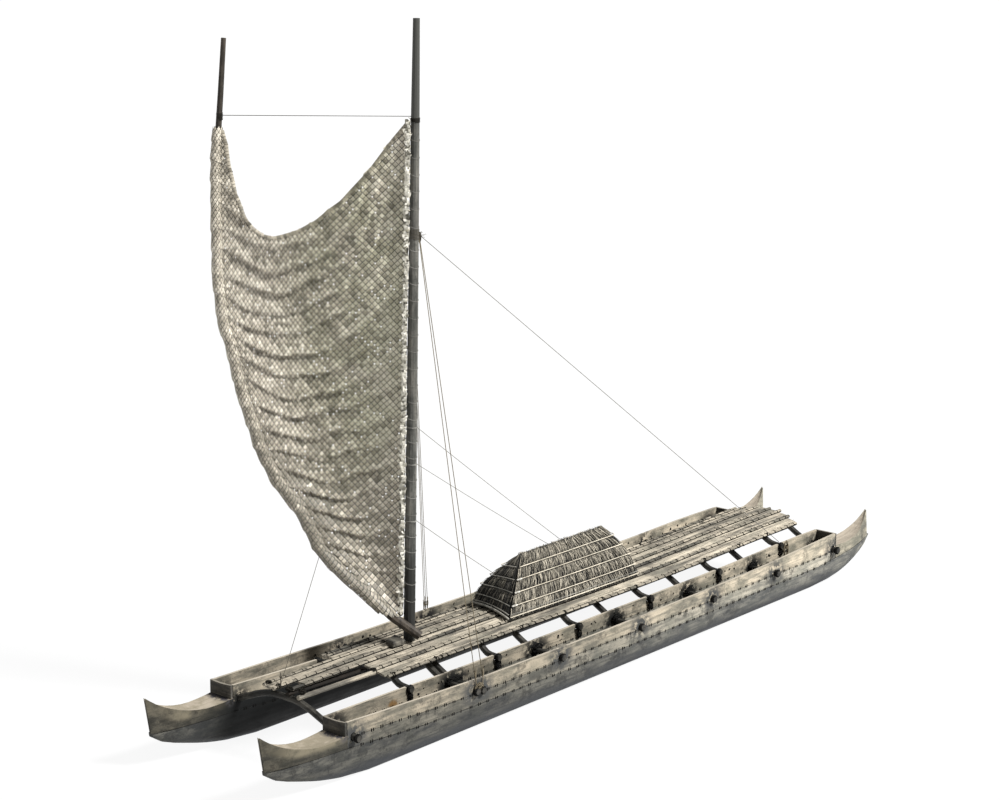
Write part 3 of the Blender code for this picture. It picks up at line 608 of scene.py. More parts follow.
def leaf(name, stops, roughness=0.8, blotch=0.35, tint=None):
    """Dry leaf strips: a tone for each strip, blotched and streaked, with an optional broad tint."""
    g = Graph(name)
    fine = g.noise(650.0, 3.0)
    colour = g.ramp(g.shared(g.tone(), g.noise(38.0, 4.0), blotch), *stops)
    colour = g.mix(g.limits(fine, 0.45, 0.75, 0.0, 0.35), colour, shade(stops[0][1], 0.5))
    if tint:
        centres, radius, cast, stretch = tint
        mask = g.times(g.spots(centres, radius, stretch), g.limits(g.noise(24.0, 4.0), 0.3, 0.6, 0.35, 1.0))
        colour = g.mix(mask, colour, g.mix(1.0, colour, shade(cast, 2.1), "MULTIPLY"))
    return g.finish(colour, roughness, g.bump(fine, 0.4, 0.2), 0.3)


def knob_places():
    """Ends of the through-beams on the outside of the port hull."""
    return [at(x, HULL_OFFSET + 22.0, outboard) for x, inboard, outboard in THROUGH_BEAMS]


def inner_places():
    """Through-beams where they cross each hull's hollow."""
    return [at(x, side - 20.0, level) for x, inboard, outboard in THROUGH_BEAMS
            for side, level in ((HULL_OFFSET, inboard), (-HULL_OFFSET, outboard))]


def between_places():
    """Through-beams where they pass the sides that face each other."""
    return [at(x, side * (HULL_OFFSET - 22.0), inboard - 3.0) for x, inboard, outboard in THROUGH_BEAMS
            for side in (1, -1)]


def hull_looks():
    painted_shade_black, black = (0.0045, 0.005, 0.005), (0.010, 0.010, 0.010)
    # Darker patches round the through-beams: at their ends, inside the hulls and on the sides that face each
    # other.
    knobs = (knob_places(), 25.0, (0.05, 0.051, 0.05), SPOT_SQUEEZE)
    crossings = (inner_places(), 27.0, black, SPOT_SQUEEZE)
    facing_sides = (between_places(), 24.0, (0.010, 0.010, 0.009), SPOT_SQUEEZE)
    orange = ([at(371, HULL_OFFSET - 18, 54)], 10.0, (0.15, 0.088, 0.035), (0.7, 1.0, 1.4))
    shadow = ([at(487, HULL_OFFSET, 56), at(487, -HULL_OFFSET, 56)], 11.0, (0.05, 0.047, 0.052),
              (1.0, 0.3, 1.0))
    # painted shade on the hulls' sides that face each other, under the deck
    inboard = (inboard_shade, painted_shade_black)
    return {
        "gunwale": wood("gunwale_wood", (0.265, 0.228, 0.172), (0.185, 0.163, 0.125), (0.085, 0.079, 0.063),
                        soak=0.62, spots=[knobs, crossings, facing_sides, orange], top=(0.46, 0.41, 0.33),
                        gain=(2.1, 1.12)),
        "wash": wood("wash_wood", (0.165, 0.151, 0.122), (0.118, 0.110, 0.090), (0.058, 0.056, 0.048),
                     soak=0.8, spots=[knobs, crossings], zones=[inboard], gain=(2.8, 1.05)),
        "log": wood("log_wood", (0.110, 0.106, 0.091), (0.075, 0.073, 0.065), (0.036, 0.037, 0.036),
                    soak=0.6, roughness=0.6, zones=[(shaded_log_bottom, (0.040, 0.043, 0.048)), inboard],
                    gain=(1.9, 0.9)),
        "end": wood("end_wood", (0.095, 0.086, 0.066), (0.068, 0.063, 0.049), (0.034, 0.032, 0.026),
                    soak=0.55, spots=[shadow], top=(0.42, 0.365, 0.29),
                    zones=[(pale_bow_band, (0.19, 0.165, 0.115)), inboard], gain=(3.6, 0.85)),
        "board": wood("board_wood", (0.10, 0.092, 0.078), (0.066, 0.061, 0.053), (0.032, 0.03, 0.027),
                      along=1, top=(0.22, 0.20, 0.165))}


def deck_looks():
    return {
        "pole": wood("deck_pole_wood", (0.52, 0.46, 0.36), (0.36, 0.318, 0.25), (0.12, 0.11, 0.092), soak=0.5,
                     gain=(1.15, 0.9), streak=8.0),
        "reed": wood("reed_wood", (0.40, 0.352, 0.275), (0.21, 0.187, 0.148), (0.05, 0.047, 0.040), soak=0.8,
                     gain=(1.2, 0.9), streak=8.0),
        "beam": wood("beam_wood", (0.060, 0.056, 0.048), (0.036, 0.034, 0.030), (0.014, 0.014, 0.013),
                     along=1, roughness=0.55),
        "chock": wood("chock_wood", (0.17, 0.155, 0.125), (0.115, 0.105, 0.085), (0.035, 0.032, 0.027),
                      along=1),
        "under": wood("under_wood", (0.024, 0.019, 0.015), (0.016, 0.013, 0.010), (0.008, 0.007, 0.006)),
        "roof": wood("roof_base", (0.03, 0.028, 0.025), (0.018, 0.017, 0.015), (0.008, 0.008, 0.007), along=2,
                     roughness=0.9),
        "batten": wood("batten_wood", (0.74, 0.67, 0.54), (0.60, 0.54, 0.43), (0.36, 0.32, 0.25), soak=0.2),
        # a darker copy of the batten wood: painted shade
        "painted_shade_batten": wood("fore_batten_wood", (0.30, 0.285, 0.25), (0.22, 0.21, 0.185),
                            (0.10, 0.096, 0.085), soak=0.3)}


def spar_looks():
    foot = (between(2, 0.05, 0.165, 0.05), (0.026, 0.026, 0.024))
    head = (between(2, 0.71, 0.90, 0.04), (0.062, 0.062, 0.056))
    return {
        "mast": wood("mast_wood", (0.155, 0.148, 0.128), (0.110, 0.107, 0.095), (0.052, 0.052, 0.047),
                     along=2, roughness=0.5, soak=0.4, zones=[foot, head]),
        "boom": wood("boom_wood", (0.085, 0.070, 0.055), (0.050, 0.042, 0.034), (0.022, 0.019, 0.016),
                     along=2, roughness=0.55, soak=0.4)}


def fibre_looks():
    table = [("black_fibre", (0.003, 0.003, 0.003), (0.018, 0.017, 0.015)),
             ("dark_fibre", (0.005, 0.005, 0.004), (0.034, 0.030, 0.024)),
             ("brown_cord", (0.016, 0.014, 0.011), (0.11, 0.098, 0.078)),
             ("tan_cord", (0.05, 0.042, 0.028), (0.21, 0.175, 0.12)),
             ("grey_cord", (0.14, 0.135, 0.12), (0.34, 0.33, 0.30)),
             ("white_tie", (0.38, 0.36, 0.31), (0.62, 0.60, 0.54))]
    return {name: fibre(name, dark, pale) for name, dark, pale in table}


def leaf_looks():
    green = ([rig_point(62.0, 400.0, -10.0)], 120.0, (0.335, 0.35, 0.31), (1.0, 1.0, 0.34))
    return {
        "thatch": leaf("thatch_leaf", [(0.06, (0.005, 0.005, 0.005)), (0.36, (0.028, 0.026, 0.022)),
                                       (0.60, (0.13, 0.117, 0.090)), (0.84, (0.46, 0.415, 0.33))],
                       blotch=0.2),
        "matting": leaf("sail_leaf", [(0.10, (0.012, 0.011, 0.009)), (0.30, (0.15, 0.137, 0.106)),
                                      (0.56, (0.43, 0.385, 0.305)), (0.84, (0.76, 0.70, 0.585))],
                        0.5, 0.16, green),
        "luff": leaf("luff_leaf", [(0.1, (0.02, 0.02, 0.016)), (0.45, (0.42, 0.395, 0.31)),
                                   (0.85, (0.85, 0.82, 0.73))], 0.45)}


def dress_cad_nodes(looks):
    """Each CAD node that shows gets its own kind of material."""
    table = [("gunwale_strake", "gunwale"), ("wash_strake", "wash"), ("hull_log", "log"),
             ("bow_piece", "end"), ("stern_piece", "end"), ("splash_board", "board"), ("aft_board", "board"),
             ("deck_pole", "pole"), ("fore_pole", "pole"), ("deck_reed", "reed"), ("beam", "beam"),
             ("mast_chock", "chock"), ("mast", "mast"), ("boom", "boom"), ("under_pole", "under"),
             ("thatch_panel", "roof"), ("shroud", "tan_cord"), ("backstay", "tan_cord"), ("sail", "matting")]
    for node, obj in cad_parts.items():
        look = next(look for part, look in table if part in node)
        obj.data.materials.clear()
        obj.data.materials.append(looks[look])


# The plaited sail, in its own plane

def boom_stretch(up):
    """How much wider the slanting boom is, measured straight out from the mast."""
    return np.hypot(1.0, (boom_out(up + 6) - boom_out(up - 6)) / 12)


def sail_reach(up):
    """Where the sail's plane meets the boom, for an array of heights."""
    return boom_out(up) - (boom_radius(up) + SAIL_EDGE_GAP) * boom_stretch(up)


def wobble(a, b, seed):
    """A slow, smooth and repeatable unevenness of about -1 to 1."""
    slow = np.sin(a * 0.031 + seed) * np.cos(b * 0.043 + 1.7 * seed)
    slanted = 0.6 * np.sin(a * 0.083 - b * 0.052 + 2.3 * seed)
    return (slow + slanted + 0.4 * np.sin(a * 0.017 + b * 0.121 + 0.9 * seed)) / 2.0


def fold_turn(out, up):
    """Place in a sagging fold, 0 at its crease and rising to 1 at the next crease up."""
    share = np.clip((up - SAIL_FOOT) / (HEAD_LOW - SAIL_FOOT), 0.0, 1.15)
    sag = fold_sag(out) * (0.24 + 0.76 * share ** 3)
    near = np.clip(1.0 - (sail_reach(up) - out) / FOLD_EDGE_REACH, 0.0, 1.0)
    phase = (up - sag - FOLD_EDGE_LIFT * near ** 1.7) / FOLD_PITCH + 0.22 * wobble(out * 1.2, up, 1.0)
    return phase - np.floor(phase)


def crumple(out, up):
    """Short waves beside the mast, where the lashings bunch the matting."""
    edge = CRUMPLE_EDGE * np.exp(-np.clip(out - 7, 0, None) / 8.0)
    waves = 1.3 * np.sin(up * 0.29 - out * 0.27 + 1.5 * wobble(out, up, 7.0))
    ripples = 0.9 * np.sin(up * 0.57 - out * 0.12 + 1.0)
    return np.exp(-np.clip(out - 8, 0, None) / CRUMPLE_REACH) * (edge + waves + ripples)


def fold_rise(out, up):
    """The matting hangs in sagging folds: each comes forward as it goes down and tucks back under itself."""
    turn = fold_turn(out, up)
    swell = np.where(turn < FOLD_TUCK, turn / FOLD_TUCK, 1 - (turn - FOLD_TUCK) / (1 - FOLD_TUCK))
    swell = 0.6 * swell + 0.4 * swell * swell * (3 - 2 * swell)
    strength = np.clip((up - SAIL_FOOT) / 60.0, 0.25, 1) * np.clip((out - 2) / 60.0, 0.35, 1.0)
    uneven = 0.72 + 0.5 * wobble(out * 0.8, up * 1.7, 4.0)
    slack = SLACK * wobble(out * 3.1, up * 2.3, 2.0)
    return FOLD_DEPTH * (swell - 0.5) * strength * uneven + crumple(out, up) + slack


def luff_at(up):
    return mast_radius(up) + LUFF_CLEAR


def sail_surface(out, up, rise):
    """Points in metres of the sail at (out, up), standing out by rise; beyond its edge it wraps the boom."""
    up = np.clip(up, MAT_FOOT, None)
    reach = sail_reach(up)
    over = np.clip(out - reach, 0, None)
    inside = np.minimum(out, reach)
    s = np.clip((inside - SAIL_LUFF) / np.maximum(reach - SAIL_LUFF, 1.0), 0, 1)
    head = head_up(SAIL_LUFF + (SAIL_PEAK - SAIL_LUFF) * s)
    t = np.clip((up - SAIL_FOOT) / (head - SAIL_FOOT), 0, 1)
    belly = SAIL_BELLY * np.sin(math.pi * s) * np.sin(math.pi * np.minimum(t * 1.05, 1.0)) ** 0.7
    at_boom = 1.0 - np.clip((reach - inside) / BOOM_FLAT, 0.0, 1.0)
    folds = fold_rise(out, up)
    side = boom_side(inside) * s - belly + folds * (1.0 - at_boom)
    radius = boom_radius(up) + SAIL_EDGE_GAP + WRAP_OFF + WRAP_FOLDS * np.clip(folds, -3.0, 3.0) + 0.3
    wide = radius * boom_stretch(up)
    angle = np.clip(over / wide, 0, WRAP_TURN)
    place = inside + wide * (1 - np.cos(angle)) + rise * np.sin(angle)
    lift = side + radius * np.sin(angle) + rise * np.cos(angle)
    base = np.array(at(*MAST_FOOT))
    return (base + (place[..., None] * np.array(SAIL_OUT) + up[..., None] * np.array(MAST_UP)
                    + lift[..., None] * np.array(SAIL_SIDE)) * MM)


def pinholes():
    """Which corners between the strips are open, so that light shows through."""
    rng = np.random.default_rng(3)
    places = np.arange(-HOLE_SHIFT, 200)
    a, b = np.meshgrid(places, places, indexing="ij")
    out, up = gather((a - b) * math.sqrt(0.5) * STRIP), (a + b) * math.sqrt(0.5) * STRIP
    patchy = np.clip(wobble(out * 2.3, up * 1.9, 6.0) + 0.1, 0.0, 1.0)
    return rng.random(a.shape) < 0.05 + 0.30 * patchy * np.clip(1.3 - out / 150.0, 0.2, 1.0)


def in_mat(out, up):
    """Whether a point of the sail's plane is within the matting."""
    level = np.clip(up, MAT_FOOT, SAIL_TOP)
    reach = sail_reach(level)
    wrap = WRAP_TURN * (boom_radius(level) + SAIL_EDGE_GAP + 1.4) * boom_stretch(level)
    low = MAT_FOOT + 0.2 * np.clip(out - reach, 0.0, 30.0)
    head = head_up(np.clip(np.minimum(out, reach + 2.0), 6, 219))
    return (out > luff_at(level)) & (out < reach + wrap) & (up > low) & (up < head)


def mat_tones(out, up):
    """Tones of the matting at points of its plane: painted light on each fold, lightest just above its
    crease; the broad field; and painted shade at the strips' edges.
    """
    turn = fold_turn(out, up)
    crease = np.where(turn < 0.40, 0.13 - 0.25 * turn, 0.03 - 0.10 * turn)
    gap = EDGE_SHADE_TONE + TUCK_SHADE_TONE * np.clip(1 - turn / 0.16, 0, 1)
    by_boom = rising(out - sail_reach(np.clip(up, MAT_FOOT, SAIL_TOP)), -32, 30) * falling(up, 380, 160)
    field = (0.07 * rising(out, 115, 60) - 0.21 * falling(up, 270, 200) - 0.08 + 0.23 * falling(out, 90, 60)
             + 0.05 * wobble(out * 1.7, up * 1.3, 5.0) - 0.15 * by_boom
             - 0.06 * rising(up, 430, 80) * falling(out, 130, 30))
    return crease, field, gap


def plait(pile, direction, holes):
    """All the strips that run one way; u counts places along a strip, and each place has three bends."""
    pitch = math.sqrt(0.5) * STRIP
    edges, curl = np.array(STRIP_EDGES)[None, :], np.array(STRIP_CURL)[None, :]
    rows = len(STRIP_EDGES)
    cells = np.arange(*PLAIT_RANGES[direction])
    u = np.append((cells[:, None] + np.array(STRIP_BENDS)).ravel(), cells[-1] + 1.0)
    flat = np.append(np.tile([0.0, 1.0, 1.0], len(cells)), 0.0)
    corner = np.round(u).astype(int) + HOLE_SHIFT
    open_at = holes.T if direction else holes
    rng = np.random.default_rng(5 + direction)
    for strip in range(*PLAIT_RANGES[1 - direction]):
        middle = strip + 0.5
        out_m, up_m = gather((middle - u if direction else u - middle) * pitch), (u + middle) * pitch
        inside = in_mat(out_m, up_m)
        keep = inside[:-1] & inside[1:]
        if not keep.any():
            continue
        low, high = (open_at[corner, strip + HOLE_SHIFT + side][:, None] for side in (0, 1))
        drawn = np.where(edges < 0, low, high) * (flat == 0.0)[:, None] * PINHOLE
        vv = middle + edges * (STRIP_HALF - drawn)
        uu = np.repeat(u[:, None], rows, axis=1)
        a, b = (vv, uu) if direction else (uu, vv)
        over = np.where((np.floor(u).astype(int) + strip + direction) % 2 == 0, 1.0, -1.0) * flat
        xyz = sail_surface(gather((a - b) * pitch), (a + b) * pitch, STRIP_RISE * (over[:, None] + curl))
        used = np.append(keep, False) | np.append(False, keep)
        base = len(pile.points) + (np.cumsum(used) - 1) * rows
        pile.points.extend(map(tuple, xyz[used].reshape(-1, 3)))
        strip_tone = rng.normal(*STRIP_TONE)
        place_tones = rng.normal(0.0, PLACE_TONE, len(cells) + 1)
        crease, field, gap = mat_tones(out_m, up_m)
        # Painted light: every third strip beside the mast is made lighter along its upper edge.
        lit_strip = LIT_STRIP_TONE if direction == 0 and strip % 3 == 0 else 0.0
        cord = falling(out_m, 88, 25) * rising(up_m, 230, 80) * lit_strip
        for i in np.nonzero(keep)[0]:
            tone = max(strip_tone + place_tones[i // 3] + crease[i] + field[i], DARKEST)
            # Painted shade at the lower end of each place, painted highlight at its upper end.
            tone += (gap[i], 0.0, END_HIGHLIGHT_TONE)[i % 3]
            lo, hi = base[i], base[i + 1]
            # Painted shade along each strip's lower edge, painted highlight along its upper edge.
            for r, edge in enumerate((gap[i], 0.0, EDGE_HIGHLIGHT_TONE + cord[i])):
                pile.faces.append((lo + r, lo + r + 1, hi + r + 1, hi + r))
                pile.tones.append(held(tone + edge))


def plaited_sail(looks):
    pile = Pile()
    holes = pinholes()
    for direction in (0, 1):
        plait(pile, direction, holes)
    made = pile.make("sail_matting", looks["matting"], "sail_rig", smooth=False)
    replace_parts(made, "sail")
    return made


def sail_line(points, rise=0.0):
    """A line on the sail through (out, up) points."""
    out = np.array([p[0] for p in points], float)
    up = np.array([p[1] for p in points], float)
    return [Vector(p) for p in sail_surface(out, up, np.full(len(out), rise))]


def head_border(looks):
    """The turned border along the crescent head."""
    pile = Pile(11)
    rnd = pile.random
    out = SAIL_LUFF - 1.5
    while out < BORDER_END:
        slope = float(head_up(out + 1) - head_up(out - 1)) / 2
        long = math.hypot(1.0, slope)
        deep = rnd.uniform(3.0, 3.8)
        ends = [(place, float(head_up(place))) for place in (out, out + BORDER_STEP / long)]
        outer, middle, inner, behind = (
            sail_line([(a + slope / long * inward, b - inward / long) for a, b in ends], rise)
            for inward, rise in ((-0.8, 0.0), (deep * 0.4, 1.9), (deep, 0.9), (deep, -1.4)))
        gap = (outer[1] - outer[0]) * 0.07
        tone = rnd.uniform(0.30, 0.62)
        pile.add([q for p in (outer, middle, inner) for q in (p[0] + gap, p[1] - gap)], RIBBON, tone)
        pile.add([*outer, *behind], [(0, 2, 3, 1)], tone * 0.6)
        out += BORDER_STEP / long
    return pile.make("sail_head_border", looks["matting"], "sail_rig")


def luff_edge(looks):
    """The crumpled edge beside the mast: a dark hem and many short flakes of leaf in front of it."""
    pile = Pile(12)
    rnd = pile.random
    hem = [(up, float(mast_radius(up)) + 0.35) for up in np.arange(MAT_FOOT + 1, LUFF_TOP + 1, 3.0)]
    near = sail_line([(out, up) for up, out in hem], -1.0)
    far = sail_line([(out + rnd.uniform(4.0, 6.5), up) for up, out in hem], -1.8)
    pile.add([p for pair in zip(near, far) for p in pair],
             [(2 * i, 2 * i + 1, 2 * i + 3, 2 * i + 2) for i in range(len(hem) - 1)], 0.0)
    up = MAT_FOOT + 1
    while up < LUFF_TOP:
        out = float(luff_at(up)) + rnd.uniform(-0.8, 3.0)
        long, wide = rnd.uniform(2.0, 5.5), rnd.uniform(1.4, 4.0)
        lean = rnd.uniform(-1.4, 1.4)
        side = max(float(fold_rise(np.array(out), np.array(up))), 1.5) + rnd.uniform(0.8, 3.4)
        if SHROUD_PASS[0] < up < SHROUD_PASS[1]:
            side = min(side, FLAT_LUFF)
        line = [rig_point(out, up, side),
                rig_point(out + lean, up + long * 0.5, side + rnd.uniform(0.2, 1.3)),
                rig_point(out + lean * rnd.uniform(0.5, 2.0), up + long, side + rnd.uniform(-0.8, 0.8))]
        shift = (SAIL_OUT * wide + SAIL_SIDE * rnd.uniform(-0.9, 0.9)) * MM
        tone = rnd.uniform(0.6, 1.0) if rnd.random() < 0.80 else 0.08
        pile.add([q for p in line for q in (p, p + shift)], RIBBON, tone)
        up += rnd.uniform(0.30, 0.80)
    return pile.make("sail_luff_edge", looks["luff"], "sail_rig")


def boom_lacing(looks):
    pile = Pile(13)
    rnd = pile.random
    up = BOOM_LACED[0]
    while up < BOOM_LACED[1]:
        reach = float(sail_reach(np.array(up)))
        turns = [(reach + over, up + 0.45 * (over + 4) + rnd.uniform(-0.4, 0.4)) for over in LACING_TURN]
        pile.tube(sail_line(turns, 1.0), 0.28, 4, rnd.uniform(0.1, 0.6))
        up += LACING_STEP + rnd.uniform(-1.0, 1.0)
    return pile.make("boom_lacing", looks["dark_fibre"], "sail_rig")


# The deck house

def hip_at(hip, level, hand):
    levels = [p[0] for p in hip]
    return (float(np.interp(level, levels, [p[1] for p in hip])),
            hand * float(np.interp(level, levels, [p[2] for p in hip])))


def roof_point(hips, level, share, proud=0.0):
    """A point on a roof slope's outside; proud lifts it off."""
    (ax, ay), (bx, by) = [hip_at(hip, min(level, 1.0), hand) for hip, hand in hips]
    x, y = ax + (bx - ax) * share, ay + (by - ay) * share
    foot = deck_top(x, y) + HUT_LIFT
    z = foot + (HUT_TOP - foot) * level
    if abs(ay + by) > abs(ax + bx) * 0.05 and ay * by > 0:
        away = Vector((0.0, math.copysign(0.86, ay), 0.5))
    else:
        away = Vector((math.copysign(0.8, ax), 0.0, 0.6))
    return at(x, y, z) + away * proud * MM


ROOF = {"port": ((HIP_AFT, 1), (HIP_PORT_FORE, 1)), "starboard": ((HIP_AFT, -1), (HIP_FAR_FORE, -1)),
        "fore": ((HIP_PORT_FORE, 1), (HIP_FAR_FORE, -1)), "aft": ((HIP_AFT, 1), (HIP_AFT, -1))}


def leaf_course(pile, hips, row, cast):
    """One course of hanging leaves across a roof slope."""
    rnd = pile.random
    top, bottom = 0.2 * (row + 1), 0.2 * row
    a, b = roof_point(hips, bottom, 0.0), roof_point(hips, bottom, 1.0)
    count = int((a - b).length / MM / LEAF_STEP)
    for k in range(count):
        share = held((k + rnd.uniform(-0.6, 0.6)) / count)
        start = top + rnd.uniform(-0.02, 0.02) if row < ROOF_ROWS - 1 else 1.0 + rnd.uniform(-0.02, 0.03)
        end = max(bottom + rnd.uniform(-0.015, 0.065), 0.0)
        lean = rnd.gauss(0, 0.013)
        pale = rnd.random() < 0.36
        proud = rnd.uniform(1.9, 3.4) if pale else rnd.uniform(0.9, 2.2)
        across = (b - a).normalized() * rnd.uniform(0.16, 0.40) * MM
        p0 = roof_point(hips, start, share, rnd.uniform(0.5, 1.2))
        p1 = roof_point(hips, (start + end) / 2, held(share + lean * 0.5), proud * 0.75 + 0.4)
        p2 = roof_point(hips, end, held(share + lean), proud)
        twist = Vector((rnd.gauss(0, 1), rnd.gauss(0, 1), rnd.gauss(0, 1))) * 0.14 * MM
        tone = rnd.gauss(0.75, 0.15) if pale else rnd.gauss(0.18, 0.13)
        pile.add([p0 - across, p0 + across, p1 - across + twist, p1 + across - twist,
                  p2 - across * 0.5, p2 + across * 0.4], RIBBON, held(tone + cast))


def ridge_tuft(pile, share):
    """A leaf bent over the ridge."""
    rnd = pile.random
    x = RIDGE_AFT + RIDGE_LONG * share + rnd.uniform(-1, 1)
    hand = rnd.choice((-1, 1))
    low = rnd.uniform(6, 14)
    p0 = at(x, -hand * rnd.uniform(0.5, 3), HUT_TOP + rnd.uniform(-1.0, 3.2))
    p1 = at(x + rnd.uniform(-1, 1), hand * 1.5, HUT_TOP + rnd.uniform(-0.4, 1.8))
    p2 = at(x + rnd.uniform(-3, 3), hand * (1.5 + low * 0.72), HUT_TOP - low + rnd.uniform(-0.5, 1.0))
    across = Vector((rnd.uniform(0.18, 0.42) * MM, 0, 0))
    tone = rnd.gauss(0.72, 0.13) if rnd.random() < 0.5 else rnd.gauss(0.36, 0.14)
    pile.add([p0 - across, p0 + across, p1 - across, p1 + across, p2 - across * 0.5, p2 + across * 0.5],
             RIBBON, held(tone))


def thatch(looks):
    pile = Pile(21)
    for face, hips in ROOF.items():
        for row in range(ROOF_ROWS):
            # Painted shade: the fore slope's leaves are made darker.
            leaf_course(pile, hips, row, FORE_PAINTED_SHADE if face == "fore" else 0.0)
    for k in range(RIDGE_TUFTS):
        ridge_tuft(pile, k / RIDGE_TUFTS)
    made = pile.make("hut_thatch", looks["thatch"], smooth=False)


def hut_battens(looks):
    pale, grey, ties = Pile(22), Pile(23), Pile(24)

    def rod(pile, face, level, proud, count, radius, sides, tone, over=0.0):
        shares = np.linspace(-over, 1.0 + over, count)
        pile.tube([roof_point(ROOF[face], level, share, proud) for share in shares], radius, sides, tone)

    for face, hips in ROOF.items():
        # Painted shade: the fore slope's battens, and one low rod on the port slope, take the darker copy of
        # the batten wood.
        pile = grey if face == "fore" else pale
        for level in BATTEN_LEVELS:
            rod(pile, face, level + 0.004, 3.5, 15, 0.62, 5, pile.random.uniform(0.5, 0.9))
            if face == "port" and level < 0.7:
                end = [roof_point(hips, level + 0.004, share, 3.9) for share in (0.968, 0.99, 1.006)]
                ties.tube(end, 1.15, 6, 0.9)
                ties.wraps(end[1], end[1] - end[0], 1.0, 4.0, 3.5, 0.3, 0.2)
    rod(pale, "port", 0.035, 2.6, 20, 0.7, 5, 0.6)
    rod(grey, "port", 0.075, 2.2, 20, 0.7, 5, 0.6)
    rod(grey, "fore", 0.02, 3.2, 16, 1.5, 6, 0.1, over=0.02)
    rod(grey, "fore", 0.075, 2.6, 16, 0.9, 5, 0.4)
    pale.make("hut_battens", looks["batten"])
    grey.make("hut_fore_battens", looks["painted_shade_batten"])
    ties.make("hut_batten_ties", looks["white_tie"])


# Stitches, ties and lashings

def reed_middle(x, y):
    return deck_top(x, y) - PLANK_DEEP + REED


def reed_tie(pile, x, y):
    """A tie of fibre laid over a reed and out on to the poles beside it."""
    rnd = pile.random
    slant = rnd.uniform(-3.2, 2.0)
    reach = REED + rnd.uniform(0.9, 2.2)
    line = []
    for across in (-reach, -REED * 1.02, -REED * 0.72, 0.0, REED * 0.72, REED * 1.02, reach):
        round_top = reed_middle(x, y) + math.sqrt(max((REED + 0.12) ** 2 - across ** 2, 0.0))
        line.append(at(x + slant * across / reach, y + across, max(round_top, deck_top(x, y + across) + 0.1)))
    pile.tube(line, [rnd.uniform(0.8, 1.3), 0.5, 0.48, 0.48, 0.48, 0.5, rnd.uniform(0.8, 1.3)], 4,
              rnd.uniform(0.0, 0.3))


def deck_ties(looks):
    """Ties over the reeds, dark lines of painted shade beside them and the cracks along the poles."""
    pile = Pile(31)
    rnd = pile.random
    for y, fore, aft in REEDS:
        x = aft + 9 + rnd.uniform(0, 6)
        while x < fore - 5:
            if not (abs(y) < 34 and -124 < x < 92):   # none under the deck house
                reed_tie(pile, x, y)
            x += STITCH_STEP + rnd.uniform(-1.2, 1.2)
    # Painted shade: dark lines along both sides of each reed.
    for y, fore, aft in REEDS:
        for off in (y - REED - 0.15, y + REED + 0.15):
            line = [at(x, off, deck_top(x, off) - 0.15) for x in np.linspace(aft + 2, fore - 2, 26)]
            pile.tube(line, [rnd.uniform(0.45, 1.0) for _ in line], 4, rnd.uniform(0.0, 0.25))
    rows = sorted({reed[0] for reed in REEDS})
    for low, high in zip(rows, rows[1:]):
        x = -480.0
        while x < 340:
            run = rnd.uniform(20, 90)
            off = low + (high - low) * rnd.uniform(0.25, 0.75)
            if not (abs(off) < 40 and x + run > -136 and x < 130):   # none under the deck house
                line = [at(x + run * k / 6, off + 0.4 * math.sin(k), deck_top(x + run * k / 6, off) - 0.08)
                        for k in range(7)]
                pile.tube(line, rnd.uniform(0.16, 0.34), 4, rnd.uniform(0.2, 0.9))
            x += run * rnd.uniform(0.25, 0.9)
    pile.make("deck_ties", looks["dark_fibre"])


def stitch_row(pile, hull, side, hand, seam, depth):
    """Pairs of stitches across a seam, on the outside or, at a depth, on the inside."""
    rnd = pile.random
    x = COCKPIT_AFT[hull] + 10
    while x < COCKPIT_FORE - 14:
        for dx in (-1.6, 1.6):
            if rnd.random() < 0.08:
                continue
            tall = rnd.uniform(1.2, 1.9)
            z = seam(x) + 0.15
            line = [at(x + dx + rnd.uniform(-0.15, 0.15), side + hand * (side_y(x, z + dz) + depth), z + dz)
                    for dz in (-tall, -tall * 0.4, tall * 0.4, tall)]
            pile.tube(line, rnd.uniform(0.6, 0.78), 4, rnd.uniform(0.0, 0.4))
        x += STITCH_STEP + rnd.uniform(-0.8, 0.8)


def seam_gaps(pile, hull, side, hand, seam, depth):
    """Dark lines where the strakes stand a little apart."""
    rnd = pile.random
    x = COCKPIT_AFT[hull] + 4
    while x < COCKPIT_FORE - 30:
        run = rnd.uniform(14, 60)
        places = [min(x + run * k / 6, COCKPIT_FORE - 8) for k in range(7)]
        line = [at(place, side + hand * (side_y(place, seam(place)) + depth), seam(place) + 0.15)
                for place in places]
        pile.tube(line, rnd.uniform(0.14, 0.26), 4, rnd.uniform(0.2, 0.8))
        x += run + rnd.uniform(1, 14)


def gunwale_holes(pile, hull, side):
    """Old lashing holes through the gunwale strakes, seen on the inside."""
    rnd = pile.random
    for _ in range(GUNWALE_HOLES):
        x, z = rnd.uniform(COCKPIT_AFT[hull] + 20, 330), rnd.uniform(52, 61)
        y = side - side_y(x, z) + PLANK + 0.1
        line = [at(x, y, z), at(x + rnd.uniform(-0.4, 0.4), y + 0.5, z + rnd.uniform(-0.5, 0.5))]
        pile.tube(line, rnd.uniform(0.9, 1.9), 6, rnd.uniform(0.0, 0.4))


def seam_stitches(looks):
    pile = Pile(32)
    for hull, side in HULLS:
        for hand in (1, -1):
            for seam, stitch, gap in ((low_seam, 0.12, 0.02), (high_seam, 0.12, 0.02),
                                      (high_seam, -PLANK - 0.15, -PLANK - 0.02)):
                stitch_row(pile, hull, side, hand, seam, stitch)
                seam_gaps(pile, hull, side, hand, seam, gap)
            for start, end in ((COCKPIT_FORE - 8, 592), (COCKPIT_AFT[hull] + 4, -590)):
                line = [at(x, side + hand * (half_beam(x) * 0.985 + 0.05), low_seam(x) + 0.1)
                        for x in np.linspace(start, end, 14)]
                pile.tube(line, 0.24, 4, 0.3)
        gunwale_holes(pile, hull, side)
    pile.make("seam_stitches", looks["black_fibre"])


